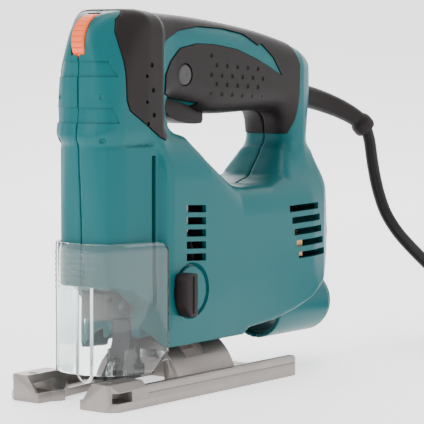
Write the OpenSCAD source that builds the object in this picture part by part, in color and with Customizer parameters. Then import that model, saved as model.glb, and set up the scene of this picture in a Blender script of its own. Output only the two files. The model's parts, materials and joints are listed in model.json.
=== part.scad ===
// Corded jigsaw with a D-shaped top handle, built as separate working pieces.
// +X points forward along the cut, +Y to the left, +Z up. The origin is where the
// blade line meets the plane of the sole. All sizes are in millimetres.

/* [Base] */
// Length of the cast base
base_length = 154; // [140:1:190]
// Width of the cast base
base_width = 71; // [66:1:86]
// How far the base reaches in front of the blade line
base_front = 36; // [30:1:44]
// Thickness of the sole
sole_t = 4; // [3:0.5:5]
// Height of the side rails
rail_h = 11; // [8:0.5:11]
// Height of the two front prongs
prong_h = 13.5; // [11:0.5:13.5]
// Outer radius of the domed saddle that the base tilts about
saddle_r = 30; // [24:0.5:30]
// Wall of the saddle
saddle_wall = 4; // [3:0.5:5]
// Largest bevel angle of the base
bevel_max = 45; // [30:5:45]
// How far the base slides back
base_travel = 10; // [6:1:12]
// Height of the slot for a rip-fence bar
fence_slot_h = 5.2; // [4:0.2:6]
// Width of the slot for a rip-fence bar
fence_slot_w = 12.5; // [10:0.5:14]
// Tapping diameter of the fence clamp holes
fence_screw_d = 4.2; // [3.2:0.1:5]

/* [Housing] */
// Half of the width of the motor body
body_half = 30; // [29:0.5:36]
// Half of the width of the handle
handle_half = 18; // [16:0.5:21]
// Wall of the housing halves
wall = 2.5; // [2:0.1:3]
// Thickness of the rubber grip skins
skin_t = 1.2; // [0.8:0.1:2]
// Diameter of the housing screws
screw_d = 4; // [3:0.1:4.8]
// Width of one cooling slot
vent_h = 3.7; // [2:0.1:4]

/* [Drive] */
// Height of the motor shaft above the sole
motor_z = 70; // [68:1:72]
// Diameter of the motor shaft
shaft_d = 8; // [6:0.1:8.4]
// Outer diameter of the front and rear ball bearings
bearing_d = 22; // [19:0.5:24]
// Outer diameter of the stator
stator_d = 50; // [44:1:52]
// Teeth on the motor pinion
pinion_teeth = 10; // [9:1:12]
// Teeth on the drive gear
gear_teeth = 50; // [48:1:52]
// Module of the gear pair
gear_module = 1; // [0.9:0.05:1.05]
// Diameter of the fixed shaft that the drive gear turns on
gear_shaft_d = 9; // [7:0.5:9.5]
// Stroke of the blade
stroke = 18; // [14:1:18]
// Diameter of the plunger rod
rod_d = 8; // [6:0.1:9.6]

/* [Controls] */
// Travel of the trigger
trigger_travel = 6; // [3:0.5:6]
// Width of the trigger
trigger_w = 15; // [12:0.5:18]
// Diameter of the lock-on button
lock_d = 11; // [8:0.5:12]
// Travel of the lock-on button
lock_travel = 3; // [2:0.5:4]
// Diameter of the speed dial
dial_d = 28; // [24:0.5:29]
// Diameter of the orbital lever's shaft
lever_shaft_d = 8; // [6:0.2:9.6]
// Diameter of the orbital lever's round foot
lever_disc_d = 25; // [20:0.5:29]

/* [Guard and guide] */
// Wall of the clear dust cover
cover_t = 1.8; // [1.2:0.1:2.2]
// Height of the clear dust cover
cover_h = 66; // [55:1:72]
// Diameter of the wire of the finger guard
wire_d = 1.8; // [1.4:0.1:2.2]
// Diameter of the guide roller
roller_d = 11; // [9:0.5:13]
// Diameter of the roller's pin
roller_pin_d = 3; // [2:0.2:4]
// Bore of the dust nozzle
nozzle_bore_d = 28; // [22:0.5:29]

/* [Cord] */
// Diameter of the mains cord
cord_d = 7; // [6:0.1:8]
// Diameter of one plug pin
plug_pin_d = 4.8; // [4:0.1:4.8]
// Length of one plug pin
plug_pin_l = 19; // [15:1:19]
// Distance between the two plug pins
plug_pin_gap = 19; // [19:0.1:19]

/* [Hidden] */

$fn = 48;
run = 0.05;          // radial clearance of a running fit
gap = 0.4;           // clearance between pieces that move apart
eps = 0.01;

teal = [0, 0.5, 0.53];
rubber_black = [0.17, 0.14, 0.15];
steel = [0.62, 0.62, 0.64];
dark_steel = [0.3, 0.3, 0.31];
cast_grey = [0.68, 0.65, 0.62];
copper = [0.72, 0.42, 0.2];

// base
base_rear = base_front - base_length;
base_half = base_width / 2;
rail_w = 6.5;
prong_x0 = base_front - 26;
saddle_x0 = -72;
saddle_x1 = -24;
saddle_in = saddle_r - saddle_wall;
saddle_gap = 0.35;
sweep_r = sqrt(base_half * base_half + rail_h * rail_h) + gap;   // reach of a tilting rail
seat_half = 11.6;
bolt_x = -50;
bolt_d = 6;
bolt_head_d = 10;
bolt_head_h = 5;
bolt_slot = bolt_d / 2 + gap;
clamp_top_r = saddle_in - 0.3;
clamp_half_y = 9.5;
clamp_bottom = 19;
fence_slot_z = 4.4;
fence_x = base_front - 2 - fence_slot_w / 2;
fence_hole_y = 25;

// driving heights and places of the drive line
gear_z = motor_z + (pinion_teeth + gear_teeth) * gear_module / 2;
crank_r = stroke / 2;
crank_pin_d = 6;
gear_x0 = -24;
gear_x1 = -17;
case_x0 = -36;
case_x1 = -29;
case_step = 118;
guide_od = rod_d + 5;
rod_top = 146;
clamp_z0 = 41;
clamp_h = 14;
rod_bottom = clamp_z0 + clamp_h - 5;
clamp_half_x = 10;
clamp_half_w = 8;
lower_guide_z = clamp_z0 + clamp_h + stroke + 0.5;
guide_len = 10;
upper_guide_z = 130;
cheek_in = clamp_half_w + 0.5;
cheek_out = cheek_in + 3.5;
core_x0 = -105;
core_x1 = -65;
air_gap = 0.5;
rotor_d = 34;
comm_x0 = -140;
comm_x1 = -124;
comm_d = 22;
brush_x = (comm_x0 + comm_x1) / 2;
rear_bearing_x = -164;
bearing_w = 7;
fan_x0 = -50;
fan_x1 = -42;
fan_d = 46;

// controls
dial_x = 8;
dial_z = 181;
dial_w = 8;
dial_axle_d = 4;
lever_x = -33;
lever_z = 54;
lever_face_y = body_half - wall;
lever_recess_d = lever_disc_d + 2 * gap + 3;
lock_x = -42;
lock_z = 164.5;
trigger_x0 = -71;
trigger_x1 = -38;
trigger_z0 = 138;
trigger_z1 = 152;
stem_w = 8;
stem_x = -60;
switch_z0 = trigger_z1 + trigger_travel + 2;

// face of the screw bosses that the heads sit on
screw_seat = handle_half - wall - 5;

// guard, guide and nozzle
cover_z0 = prong_h + 1;
wire_x = 16;
wire_y = 4.6;
wire_bend = 3;
wire_top = 57;
wire_end = 15;
roller_x = -8;
roller_z = 14.5;
roller_w = 3.8;
bracket_half = 6;
bracket_pin_x = -16;
bracket_pin_z = 35;
bracket_pin_d = 4;
lug_out = 12;
nozzle_z = 34;
nozzle_wall = 1.8;
nozzle_x0 = -181;
nozzle_x1 = -132;

// housing outlines in the XZ plane
body_side = [[-11, 25], [-80, 25], [-84, 29], [-124, 29], [-132, 17], [-172, 17], [-178, 23],
    [-178, 46], [-170, 54], [-170, 62], [-173, 75], [-171, 88], [-165, 105], [-161, 120],
    [-134, 120], [-126, 109], [-110, 104.5], [-84, 104.5], [-70, 108], [-50, 120], [-40, 133],
    [-11, 133]];
handle_side = [[-161, 112], [-163, 128], [-166.5, 150], [-167, 166], [-161, 176.5], [-123.5, 186],
    [-88.5, 191.2], [-52.5, 194.6], [-15.5, 196.5], [-3.5, 197.3], [8, 195.5], [17, 191],
    [22, 185], [24, 176], [24.5, 148], [23.5, 126.5], [-36, 126.5], [-34, 135], [-33, 152],
    [-74, 144], [-122, 145], [-134, 142], [-137, 132], [-134, 119], [-126, 109]];
column_side = [[21.3, 128], [19.4, 96], [18.4, 59], [4, 57], [-8, 48], [-12, 48], [-12, 128]];
// housing outlines in the XY plane, left half
body_plan = [[-10.8, 0], [-10.8, body_half - 5], [-17, body_half], [-145, body_half],
    [-160, body_half - 4], [-171, body_half - 10], [-179, body_half - 10], [-179, 0]];
column_plan = [[22, 0], [21.6, 5], [19.8, 10], [17, 15.4], [8, 20.5], [-7.8, 23.8], [-13, 23.8], [-13, 0]];
head_plan = [[25, 0], [24.6, 6], [22.4, 12], [18.6, 17.4], [10, 21.4], [-6, 23.4], [-17, 23.4],
    [-24, handle_half], [-152, handle_half], [-162, 14], [-168, 8], [-168, 0]];
// the front corners of the head lean in towards the top; outline across the corner
nose_angle = 52.6;
nose_lean = [[27.5, 128], [23.3, 165], [17.5, 186], [13, 198]];
cover_front = 23;
cover_plan = [[cover_front, 0], [cover_front, 5.5], [21.7, 11.8], [18.7, 17.5], [9.5, 23.1], [-13.2, 31]];
cover_inner = [[-13.2, 29.1], [8.8, 21.4], [17.3, 16.2], [20, 11.3], [cover_front - cover_t, 5.2],
    [cover_front - cover_t, 0]];
screw_spots = [[-12, 187], [-150, 166], [-155, 110], [-26, 146], [-90, 100.8], [-62, 39],
    [-120, 42]];
skin_side = [[10, 192], [-16, 192], [-88, 186], [-122, 181], [-146, 173], [-148, 130], [-138, 124],
    [-140, 143], [-122, 149], [-74, 148], [-40, 156], [-20, 150], [-18, 134], [4, 144], [10, 154]];

// Strain relief and cord, along their middle lines
relief_route = [[-160, 0, 153], [-168, 0, 152.5], [-177, 2, 151], [-187, 6, 148], [-197, 12, 143.5],
    [-205, 17.5, 138], [-210, 21, 131.5]];
relief_radii = [6.6, 6.6, 6.3, 6, 5.8, 5.6, 5.4];
cord_route = [[-210, 21, 131.5], [-211, 22.5, 125], [-210, 24.5, 117], [-208, 28, 106], [-206, 32.5, 95],
    [-205, 38, 84], [-204.5, 46, 74], [-204, 55, 66], [-204, 65, 58], [-205, 74.5, 50.5], [-208, 84, 43],
    [-214.5, 93.5, 35], [-224.5, 101.8, 26.5], [-237, 106.9, 18], [-250.5, 109, 11.2],
    [-266, 109.3, 6.6], [-281, 109, 4.7], [-294, 108.8, 4.5]];
coil_x = -291;
coil_y = 67;
coil_r = 35;
coil_z = 1;
coil_layers = 3;
coil_half = coil_layers * cord_d / 2;
plug_x = coil_x - 26;
function round_coil(radius, angle, z) = [coil_x + radius * cos(angle), coil_y + radius * sin(angle), z];
tail_route = [round_coil(28, 60, 18.6), round_coil(27.8, 80, 20.2), round_coil(27.5, 100, 23),
    round_coil(27, 120, 26), round_coil(26.5, 140, 28.9), round_coil(26.2, 155, 30.3),
    round_coil(26.2, 168, 30.7), [plug_x - 0.2, 70, 30.7]];
plug_y = 73;
plug_z = 30.7;
plug_len = 38;

// ---------------------------------------------------------------- helpers

// An outline in the XZ plane, given its thickness along Y from y0 to y1
module side_prism(points, y0, y1) {
    translate([0, y1, 0])
        rotate([90, 0, 0])
            linear_extrude(y1 - y0) polygon(points);
}

// The same outline pulled in by inset
module side_core(points, inset, y0, y1) {
    translate([0, y1, 0])
        rotate([90, 0, 0])
            linear_extrude(y1 - y0) offset(delta = -inset) polygon(points);
}

// A left-half outline in the XY plane, made thick from z0 to z1
module plan_prism(points, z0, z1) {
    translate([0, 0, z0]) linear_extrude(z1 - z0) polygon(points);
}

module plan_core(points, inset, z0, z1) {
    translate([0, 0, z0]) linear_extrude(z1 - z0) offset(delta = -inset)
        polygon(concat(points, [for (i = [len(points) - 1:-1:0]) [points[i][0], -points[i][1]]]));
}

module y_rod(d, x, z, y0, y1) {
    translate([x, y1, z]) rotate([90, 0, 0]) cylinder(d = d, h = y1 - y0);
}

module x_rod(d, y, z, x0, x1) {
    translate([x0, y, z]) rotate([0, 90, 0]) cylinder(d = d, h = x1 - x0);
}

module box(x0, x1, y0, y1, z0, z1) {
    translate([x0, y0, z0]) cube([x1 - x0, y1 - y0, z1 - z0]);
}

module mirror_y() {
    mirror([0, 1, 0]) children();
}

function unit(v) = v / norm(v);
function tangent(p, i) = unit(p[min(i + 1, len(p) - 1)] - p[max(i - 1, 0)]);
function side_of(t) = unit(cross(t, abs(t[2]) > 0.9 ? [0, 1, 0] : [0, 0, 1]));

// A closed tube along a list of points, with one radius for each point
module sweep(points, radii, sides) {
    n = len(points);
    rings = [for (i = [0:n - 1]) let (t = tangent(points, i), a = side_of(t), b = cross(t, a))
        for (k = [0:sides - 1])
            points[i] + radii[i] * (cos(360 * k / sides) * a + sin(360 * k / sides) * b)];
    walls = [for (i = [0:n - 2]) for (k = [0:sides - 1])
        let (m = (k + 1) % sides, p = i * sides + k, q = i * sides + m) each
        [[p, q, q + sides], [p, q + sides, p + sides]]];
    caps = [[for (k = [sides - 1:-1:0]) k], [for (k = [0:sides - 1]) (n - 1) * sides + k]];
    polyhedron(rings, concat(walls, caps));
}

// Straight-flanked gear outline with thin teeth, so that a pair runs with backlash
function gear_outline(teeth, m, turn) = let (root = m * teeth / 2 - 1.2 * m, tip = m * teeth / 2 + 0.85 * m,
    step = 360 / teeth) [for (i = [0:teeth - 1]) let (a = i * step + turn) each [
        root * [cos(a - step * 0.27), sin(a - step * 0.27)],
        tip * [cos(a - step * 0.09), sin(a - step * 0.09)],
        tip * [cos(a + step * 0.09), sin(a + step * 0.09)],
        root * [cos(a + step * 0.27), sin(a + step * 0.27)]]];

// A gear outline turned so that its plane is YZ, from x0 to x1
module x_gear(teeth, m, turn, z, x0, x1) {
    translate([x0, 0, z]) rotate([90, 0, 90]) linear_extrude(x1 - x0) polygon(gear_outline(teeth, m, turn));
}

// ---------------------------------------------------------------- housing

// Everything behind the leaning front corner of the head, moved out by extra
module nose_room(extra) {
    rotate([0, 0, nose_angle])
        side_prism(concat([for (p = nose_lean) [p[0] + extra, p[1]]],
            [[-250, 198], [-250, 99], [nose_lean[0][0] + extra, 99]]),
            -250, 250);
}

module half_outer() {
    intersection() {
        side_prism(body_side, 0, body_half + 1);
        plan_prism(body_plan, 0, 140);
    }
    intersection() {
        side_prism(handle_side, 0, body_half + 1);
        plan_prism(head_plan, 100, 200);
        nose_room(0);
    }
    intersection() {
        side_prism(column_side, 0, body_half + 1);
        plan_prism(column_plan, 40, 130);
    }
}

module half_hollow() {
    intersection() {
        side_core(body_side, wall, -eps, body_half - wall);
        plan_core(body_plan, wall, 0, 140);
    }
    intersection() {
        side_core(handle_side, wall, -eps, body_half);
        plan_core(head_plan, wall, 100, 200);
        nose_room(-wall);
    }
    intersection() {
        side_prism(column_side, -eps, body_half);
        plan_core(column_plan, wall, 40, 124);
    }
    box(-20, 12, -eps, cheek_out + 0.4, 56, 140);
    box(-26, -12, -eps, 18, 60, 140);
    box(case_x0 - gap, case_x1 + 3, -eps, 15.2, 56, case_step + gap);
    box(case_x1 - 3 - gap, case_x1 + 3, -eps, 15.2, case_step, 140 + gap);
}

// Ribs and bosses that hold the inner pieces
module half_ribs() {
    difference() {
        union() {
            box(rear_bearing_x, rear_bearing_x + bearing_w, 0, body_half - wall + eps, 54, 86);
            box(core_x0 + 8, core_x0 + 12, 0, body_half - wall + eps, 44, 97);
            box(core_x1 - 12, core_x1 - 8, 0, body_half - wall + eps, 44, 97);
        }
        x_rod(bearing_d, 0, motor_z, rear_bearing_x - 1, rear_bearing_x + bearing_w + 1);
        x_rod(stator_d, 0, motor_z, core_x0, core_x1);
    }
    // seat on the saddle, and the block that holds the base nut
    difference() {
        box(bolt_x - 16, bolt_x + 14, 0, seat_half, 25, 44);
        box(bolt_x - 5.5, bolt_x + 5.5, -1, 5.5, 36, 41);
    }
    difference() {
        bracket_lug();
        y_rod(bracket_pin_d, bracket_pin_x, bracket_pin_z, 0, 15);
    }
    intersection() {
        half_outer();
        for (s = screw_spots) y_rod(screw_d + 6, s[0], s[1], 0, body_half);
    }
}

// Lug that carries one end of the roller bracket's pin
module bracket_lug() {
    box(-24, bracket_pin_x + 4.5, bracket_half + gap, lug_out, 31, 41);
}

module half_openings() {
    // room for the saddle and the tilting rails, outside the seat and the lugs
    difference() {
        x_rod(2 * sweep_r, 0, 0, base_rear - base_travel - 1, -10);
        box(bolt_x - 16, bolt_x + 14, -seat_half, seat_half, 0, 60);
        bracket_lug();
    }
    x_rod(2 * (saddle_r + saddle_gap), 0, 0, bolt_x - 17, bolt_x + 15);
    translate([bolt_x, 0, 20]) cylinder(d = bolt_d, h = 21);
    // room for the top of the roller bracket in the front wall
    box(-14, -10, -1, bracket_half + gap, 30, 41);
    // front vents, rear vents
    for (z = [69.2:6.2:94.2]) box(-45, -28.8, body_half - wall - 1, body_half + 2, z, z + vent_h);
    for (i = [0:4]) translate([2.2 * i, 0, 6.5 * i])
        box(-156, -131, body_half - wall - 7, body_half + 2, 63.5, 63.5 + vent_h);
    // trigger slot
    box(trigger_x0 - gap, trigger_x1 + gap, -1, trigger_w / 2 + gap, 136, 160);
    // speed dial
    y_rod(dial_d + 2 * gap + 0.4, dial_x, dial_z, -1, dial_w / 2 + gap);
    // cord outlet and dust nozzle
    x_rod(13.4, 0, 152.6, -171, -150);
    x_rod(nozzle_bore_d + 2 * nozzle_wall, 0, nozzle_z, nozzle_x0 - 1, nozzle_x1);
    // wire guard ends
    y_rod(wire_d, wire_x, wire_top + wire_bend, 5, wire_end);
}

module housing_half() {
    difference() {
        union() {
            difference() {
                half_outer();
                half_hollow();
            }
            half_ribs();
        }
        half_openings();
        children();
    }
}

module housing_left() {
    color(teal) housing_half() {
        // blind screw holes, lock-on button, orbital lever
        for (s = screw_spots) y_rod(screw_d - 0.6, s[0], s[1], -1, screw_seat + 1);
        y_rod(lock_d + 2 * gap, lock_x, lock_z, 5, body_half);
        y_rod(lever_shaft_d + 2 * run, lever_x, lever_z, 10, body_half + 2);
        y_rod(lever_recess_d, lever_x, lever_z, lever_face_y, body_half + 2);
    }
}

module housing_right() {
    color(teal) mirror_y() housing_half() {
        for (s = screw_spots) {
            y_rod(screw_d, s[0], s[1], -1, body_half + 2);
            y_rod(screw_d + 3.4, s[0], s[1], screw_seat, body_half + 2);
        }
    }
}

module grip_skin() {
    color(rubber_black) difference() {
        intersection() {
            side_prism(skin_side, 10, body_half);
            translate([0, 0, 100]) linear_extrude(100)
                polygon([[10, 21.4 + skin_t], [-6, 23.4 + skin_t], [-17, 23.4 + skin_t],
                    [-24, handle_half + skin_t], [-150, handle_half + skin_t], [-150, handle_half],
                    [-24, handle_half], [-17, 23.4], [-6, 23.4], [10, 21.4]]);
            nose_room(skin_t);
        }
        y_rod(lock_d + 5, lock_x, lock_z, 5, body_half);
        for (s = screw_spots) y_rod(screw_d + 3.4, s[0], s[1], 5, body_half);
    }
}

module grip_left() {
    grip_skin();
}

module grip_right() {
    mirror_y() grip_skin();
}

module housing_screws() {
    color(dark_steel) for (s = screw_spots) difference() {
        union() {
            y_rod(screw_d - 0.6, s[0], s[1], -screw_seat, screw_seat);
            y_rod(screw_d + 2.8, s[0], s[1], -screw_seat - 3, -screw_seat);
        }
        y_rod(2.2, s[0], s[1], -screw_seat - 5, -screw_seat - 1.5, $fn = 6);
    }
}

// ---------------------------------------------------------------- gear case and drive

module gear_case() {
    color(cast_grey) difference() {
        union() {
            box(case_x0, case_x1, -14.8, 14.8, 57.5, case_step);
            box(case_x1 - 3, case_x1, -14.8, 14.8, case_step - 1, 140);
            box(case_x0, case_x1, -25, 25, 84, case_step);
            for (side = [-1, 1]) box(case_x1 - eps, clamp_half_x - 1, side > 0 ? cheek_in : -cheek_out,
                side > 0 ? cheek_out : -cheek_in, 63, lower_guide_z + eps);
            box(-9, 9, -cheek_out, cheek_out, lower_guide_z, lower_guide_z + guide_len);
            box(case_x1 - eps, 9, -10, 10, 134, 139);
            box(-9, 9, -10, 10, upper_guide_z, 139);
        }
        x_rod(bearing_d, 0, motor_z, case_x0 - 1, case_x1 + 1);
        x_rod(gear_shaft_d, 0, gear_z, case_x0 - 1, case_x1 + 1);
        cylinder(d = guide_od, h = 200);
    }
}

module guide_bush(z, h) {
    color("goldenrod") translate([0, 0, z]) difference() {
        cylinder(d = guide_od, h = h);
        translate([0, 0, -1]) cylinder(d = rod_d + 2 * run, h = h + 2);
    }
}

module lower_guide() {
    guide_bush(lower_guide_z, guide_len);
}

module upper_guide() {
    guide_bush(upper_guide_z, 9);
}

module gear_shaft() {
    color(steel) x_rod(gear_shaft_d, 0, gear_z, case_x0, gear_x1 + 0.6);
}

module ball_bearing(x0) {
    color(steel) difference() {
        x_rod(bearing_d, 0, motor_z, x0, x0 + bearing_w);
        x_rod(shaft_d + 2 * run, 0, motor_z, x0 - 1, x0 + bearing_w + 1);
        for (x = [x0, x0 + bearing_w]) translate([x, 0, motor_z]) rotate([0, 90, 0])
            rotate_extrude() translate([bearing_d / 2 - 3, 0]) square([2, 1.2], center = true);
    }
}

module front_bearing() {
    ball_bearing(case_x0);
}

module rear_bearing() {
    ball_bearing(rear_bearing_x);
}

module drive_gear() {
    color(steel) difference() {
        x_gear(gear_teeth, gear_module, 180 / gear_teeth - 90, gear_z, gear_x0, gear_x1);
        x_rod(gear_shaft_d + 2 * run, 0, gear_z, gear_x0 - 1, gear_x1 + 1);
        x_rod(crank_pin_d, 0, gear_z - crank_r, gear_x0 - 1, gear_x1 + 1);
    }
}

module crank_pin() {
    color(dark_steel) x_rod(crank_pin_d, 0, gear_z - crank_r, gear_x0, -9.2);
}

module balance_weight() {
    color(dark_steel) difference() {
        intersection() {
            x_rod(44, 0, gear_z, gear_x1, gear_x1 + 3);
            box(gear_x1 - 1, gear_x1 + 4, -30, 30, gear_z + 3, gear_z + 30);
        }
        x_rod(gear_shaft_d + 6, 0, gear_z, gear_x1 - 1, gear_x1 + 4);
    }
}

module armature_shaft() {
    color(steel) {
        x_rod(shaft_d, 0, motor_z, rear_bearing_x, case_x1 + 1);
        x_rod(5, 0, motor_z, case_x1, gear_x1 + 1);
        x_gear(pinion_teeth, gear_module, 90, motor_z, gear_x0 - 1, gear_x1 + 1);
    }
}

module armature_core() {
    color(dark_steel) difference() {
        x_rod(rotor_d, 0, motor_z, core_x0, core_x1);
        x_rod(shaft_d, 0, motor_z, core_x0 - 1, core_x1 + 1);
        for (i = [0:11]) translate([core_x0 - 1, 0, motor_z]) rotate([i * 30, 0, 0])
            translate([0, -1, rotor_d / 2 - 5]) cube([core_x1 - core_x0 + 2, 2, 6]);
    }
}

module armature_windings() {
    color(copper) for (x = [core_x0 - 10, core_x1]) difference() {
        x_rod(rotor_d - 5, 0, motor_z, x, x + 10);
        x_rod(shaft_d, 0, motor_z, x - 1, x + 11);
    }
}

module commutator() {
    color(copper) difference() {
        x_rod(comm_d, 0, motor_z, comm_x0, comm_x1);
        x_rod(shaft_d, 0, motor_z, comm_x0 - 1, comm_x1 + 1);
        for (i = [0:23]) translate([comm_x0 - 1, 0, motor_z]) rotate([i * 15, 0, 0])
            translate([0, -0.3, comm_d / 2 - 1]) cube([comm_x1 - comm_x0 + 2, 0.6, 2]);
    }
}

module fan() {
    color([0.2, 0.2, 0.22]) difference() {
        union() {
            x_rod(shaft_d + 8, 0, motor_z, fan_x0, fan_x1);
            x_rod(fan_d, 0, motor_z, fan_x1 - 1.5, fan_x1);
            for (i = [0:8]) translate([fan_x0 + 0.5, 0, motor_z]) rotate([i * 40, 0, 0])
                translate([0, -0.8, shaft_d / 2 + 2])
                    cube([fan_x1 - fan_x0 - 1, 1.6, fan_d / 2 - shaft_d / 2 - 3]);
        }
        x_rod(shaft_d, 0, motor_z, fan_x0 - 1, fan_x1 + 1);
    }
}

module stator_core() {
    color(dark_steel) difference() {
        x_rod(stator_d, 0, motor_z, core_x0, core_x1);
        x_rod(rotor_d + 2 * air_gap, 0, motor_z, core_x0 - 1, core_x1 + 1);
    }
}

module field_coils() {
    color(copper) for (x = [core_x0 - 8, core_x1]) difference() {
        x_rod(stator_d - 4, 0, motor_z, x, x + 8);
        x_rod(rotor_d + 2, 0, motor_z, x - 1, x + 9);
    }
}

module fan_baffle() {
    color([0.15, 0.15, 0.16]) difference() {
        x_rod(stator_d + 4, 0, motor_z, core_x1 + 10, core_x1 + 12);
        x_rod(rotor_d + 4, 0, motor_z, core_x1 + 9, core_x1 + 13);
        box(core_x1 + 9, core_x1 + 13, -40, 40, 40, 44.5);
    }
}

module brush_holders() {
    color("goldenrod") for (side = [0, 1]) mirror([0, side, 0]) difference() {
        box(brush_x - 5, brush_x + 5, comm_d / 2 + 1.5, 26.5, motor_z - 6, motor_z + 6);
        box(brush_x - 3.2, brush_x + 3.2, comm_d / 2, 25, motor_z - 4.2, motor_z + 4.2);
    }
}

module carbon_brushes() {
    color([0.12, 0.12, 0.13]) for (side = [0, 1]) mirror([0, side, 0])
        box(brush_x - 3, brush_x + 3, comm_d / 2 + gap, 20, motor_z - 4, motor_z + 4);
}

module brush_springs() {
    color(steel) for (side = [0, 1]) mirror([0, side, 0]) for (i = [0:4])
        translate([brush_x, 20.5 + i, motor_z]) rotate([90, 0, 0]) rotate_extrude()
            translate([2, 0]) circle(d = 1.02, $fn = 16);
}

module plunger_rod() {
    color(steel) difference() {
        union() {
            translate([0, 0, rod_bottom]) cylinder(d = rod_d, h = rod_top - rod_bottom);
            box(-8.5, -1, -15, 15, gear_z - crank_r - 5.5, gear_z - crank_r + 5.5);
        }
        box(-9, -4.2, -12.4, 12.4, gear_z - crank_r - 3.3, gear_z - crank_r + 3.3);
    }
}

module blade_clamp() {
    color(dark_steel) difference() {
        box(-clamp_half_x, clamp_half_x, -clamp_half_w, clamp_half_w, clamp_z0, clamp_z0 + clamp_h);
        translate([0, 0, rod_bottom]) cylinder(d = rod_d, h = clamp_h);
        box(-4.5, 4.5, -0.8, 0.8, clamp_z0 - 1, clamp_z0 + 7.5);
        y_rod(6, -3, 47, 0.9, clamp_half_w + 1);
        y_rod(2.4, 6, 51, 0, clamp_half_w + 1);
    }
}

module clamp_screw() {
    color(steel) difference() {
        y_rod(6, -3, 47, 1.2, clamp_half_w - 0.6);
        y_rod(3.2, -3, 47, clamp_half_w - 3, clamp_half_w, $fn = 6);
    }
}

// ---------------------------------------------------------------- controls

module switch_body() {
    color([0.15, 0.15, 0.16]) difference() {
        box(trigger_x0 - 3, lock_x - lock_d / 2 - 1.2, -9, 9, switch_z0, 179);
        box(stem_x - stem_w / 2 - gap, stem_x + stem_w / 2 + gap, -4.4, 4.4, switch_z0 - 1,
            switch_z0 + trigger_travel + 5);
    }
}

module trigger() {
    color(rubber_black) {
        intersection() {
            box(trigger_x0, trigger_x1, -trigger_w / 2, trigger_w / 2, trigger_z0, trigger_z1);
            side_prism([[trigger_x0, trigger_z0 + 2], [trigger_x0 + 2, trigger_z0], [-50, trigger_z0 + 1.5],
                [trigger_x1, trigger_z0 + 6], [trigger_x1, trigger_z1], [trigger_x0, trigger_z1]], -20, 20);
        }
        box(stem_x - stem_w / 2, stem_x + stem_w / 2, -4, 4, trigger_z1 - eps, switch_z0 + 4);
    }
}

module lock_button() {
    color([0.25, 0.23, 0.24]) {
        y_rod(lock_d, lock_x, lock_z, 12, handle_half + 0.6);
        y_rod(5, lock_x, lock_z, lock_travel + 4, 12);
    }
}

module speed_board() {
    color("darkgreen") difference() {
        box(dial_x - 13, dial_x + 9, -7.6, -6, 164, 184);
        y_rod(dial_axle_d + 2 * run, dial_x, dial_z, -9, -5);
    }
}

module speed_dial() {
    color([1, 0.48, 0.2]) difference() {
        union() {
            y_rod(dial_d, dial_x, dial_z, -dial_w / 2, dial_w / 2);
            y_rod(dial_axle_d, dial_x, dial_z, -7.6, dial_w / 2 + 0.2);
        }
        for (i = [0:23]) translate([dial_x, 0, dial_z]) rotate([0, i * 15, 0])
            translate([dial_d / 2 + 0.3, 0, 0]) rotate([90, 0, 0])
                cylinder(d = 2, h = dial_w + 2, center = true, $fn = 16);
    }
}

module orbital_lever() {
    color(rubber_black) {
        y_rod(lever_shaft_d, lever_x, lever_z, 17.5, lever_face_y + 1);
        y_rod(lever_disc_d, lever_x, lever_z, lever_face_y + 0.5, body_half + 1);
        intersection() {
            box(lever_x + 3.5, lever_x + 12.5, body_half + 0.9, body_half + 8, lever_z - 11.5, lever_z + 10.5);
            side_prism([[lever_x + 3, lever_z - 12], [lever_x + 9, lever_z - 12], [lever_x + 13, lever_z - 6],
                [lever_x + 13, lever_z + 11], [lever_x + 3, lever_z + 11]], 0, 60);
        }
    }
}

module roller_bracket() {
    color([0.14, 0.14, 0.15]) difference() {
        side_prism([[-21.5, 8], [1, 8], [1, 10.5], [-3.5, 14], [-9, 21], [-12, 31], [-12, 39], [-20, 39],
            [-19, 20], [-21.5, 14]], -bracket_half, bracket_half);
        y_rod(bracket_pin_d + 2 * run, bracket_pin_x, bracket_pin_z, -10, 10);
        y_rod(roller_pin_d, roller_x, roller_z, -10, 10);
        y_rod(roller_d + 2, roller_x, roller_z, -roller_w / 2 - gap, roller_w / 2 + gap);
        box(roller_x + 2, 2, -1.2, 1.2, 5, 20);
    }
}

module bracket_pin() {
    color(steel) y_rod(bracket_pin_d, bracket_pin_x, bracket_pin_z, -lug_out, lug_out);
}

module roller_pin() {
    color(steel) y_rod(roller_pin_d, roller_x, roller_z, -bracket_half, bracket_half);
}

module roller() {
    color(steel) difference() {
        y_rod(roller_d, roller_x, roller_z, -roller_w / 2, roller_w / 2);
        y_rod(roller_pin_d + 2 * run, roller_x, roller_z, -5, 5);
        translate([roller_x, 0, roller_z]) rotate([90, 0, 0]) rotate_extrude()
            translate([roller_d / 2, 0]) square([1.6, 1.4], center = true);
    }
}

// ---------------------------------------------------------------- base, guard and cover

module prong() {
    side = base_half;
    intersection() {
        translate([prong_x0, 0, 0]) rotate([90, 0, 90]) linear_extrude(base_front - prong_x0)
            polygon([[8, 0], [side, 0], [side, 10], [side - 3.5, prong_h], [side - 14, prong_h],
                [side - 20, 5], [8, 5]]);
        translate([0, 0, -1]) linear_extrude(20)
            polygon([[prong_x0 - 1, 8], [prong_x0 - 1, side + 1], [base_front - 5, side + 1], [base_front, side - 5],
                [base_front, 8]]);
    }
}

// A point of the YZ plane as it lies when turned by the full bevel angle
function tilted(y, z) = [y * cos(bevel_max) + z * sin(bevel_max), -y * sin(bevel_max) + z * cos(bevel_max)];

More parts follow.
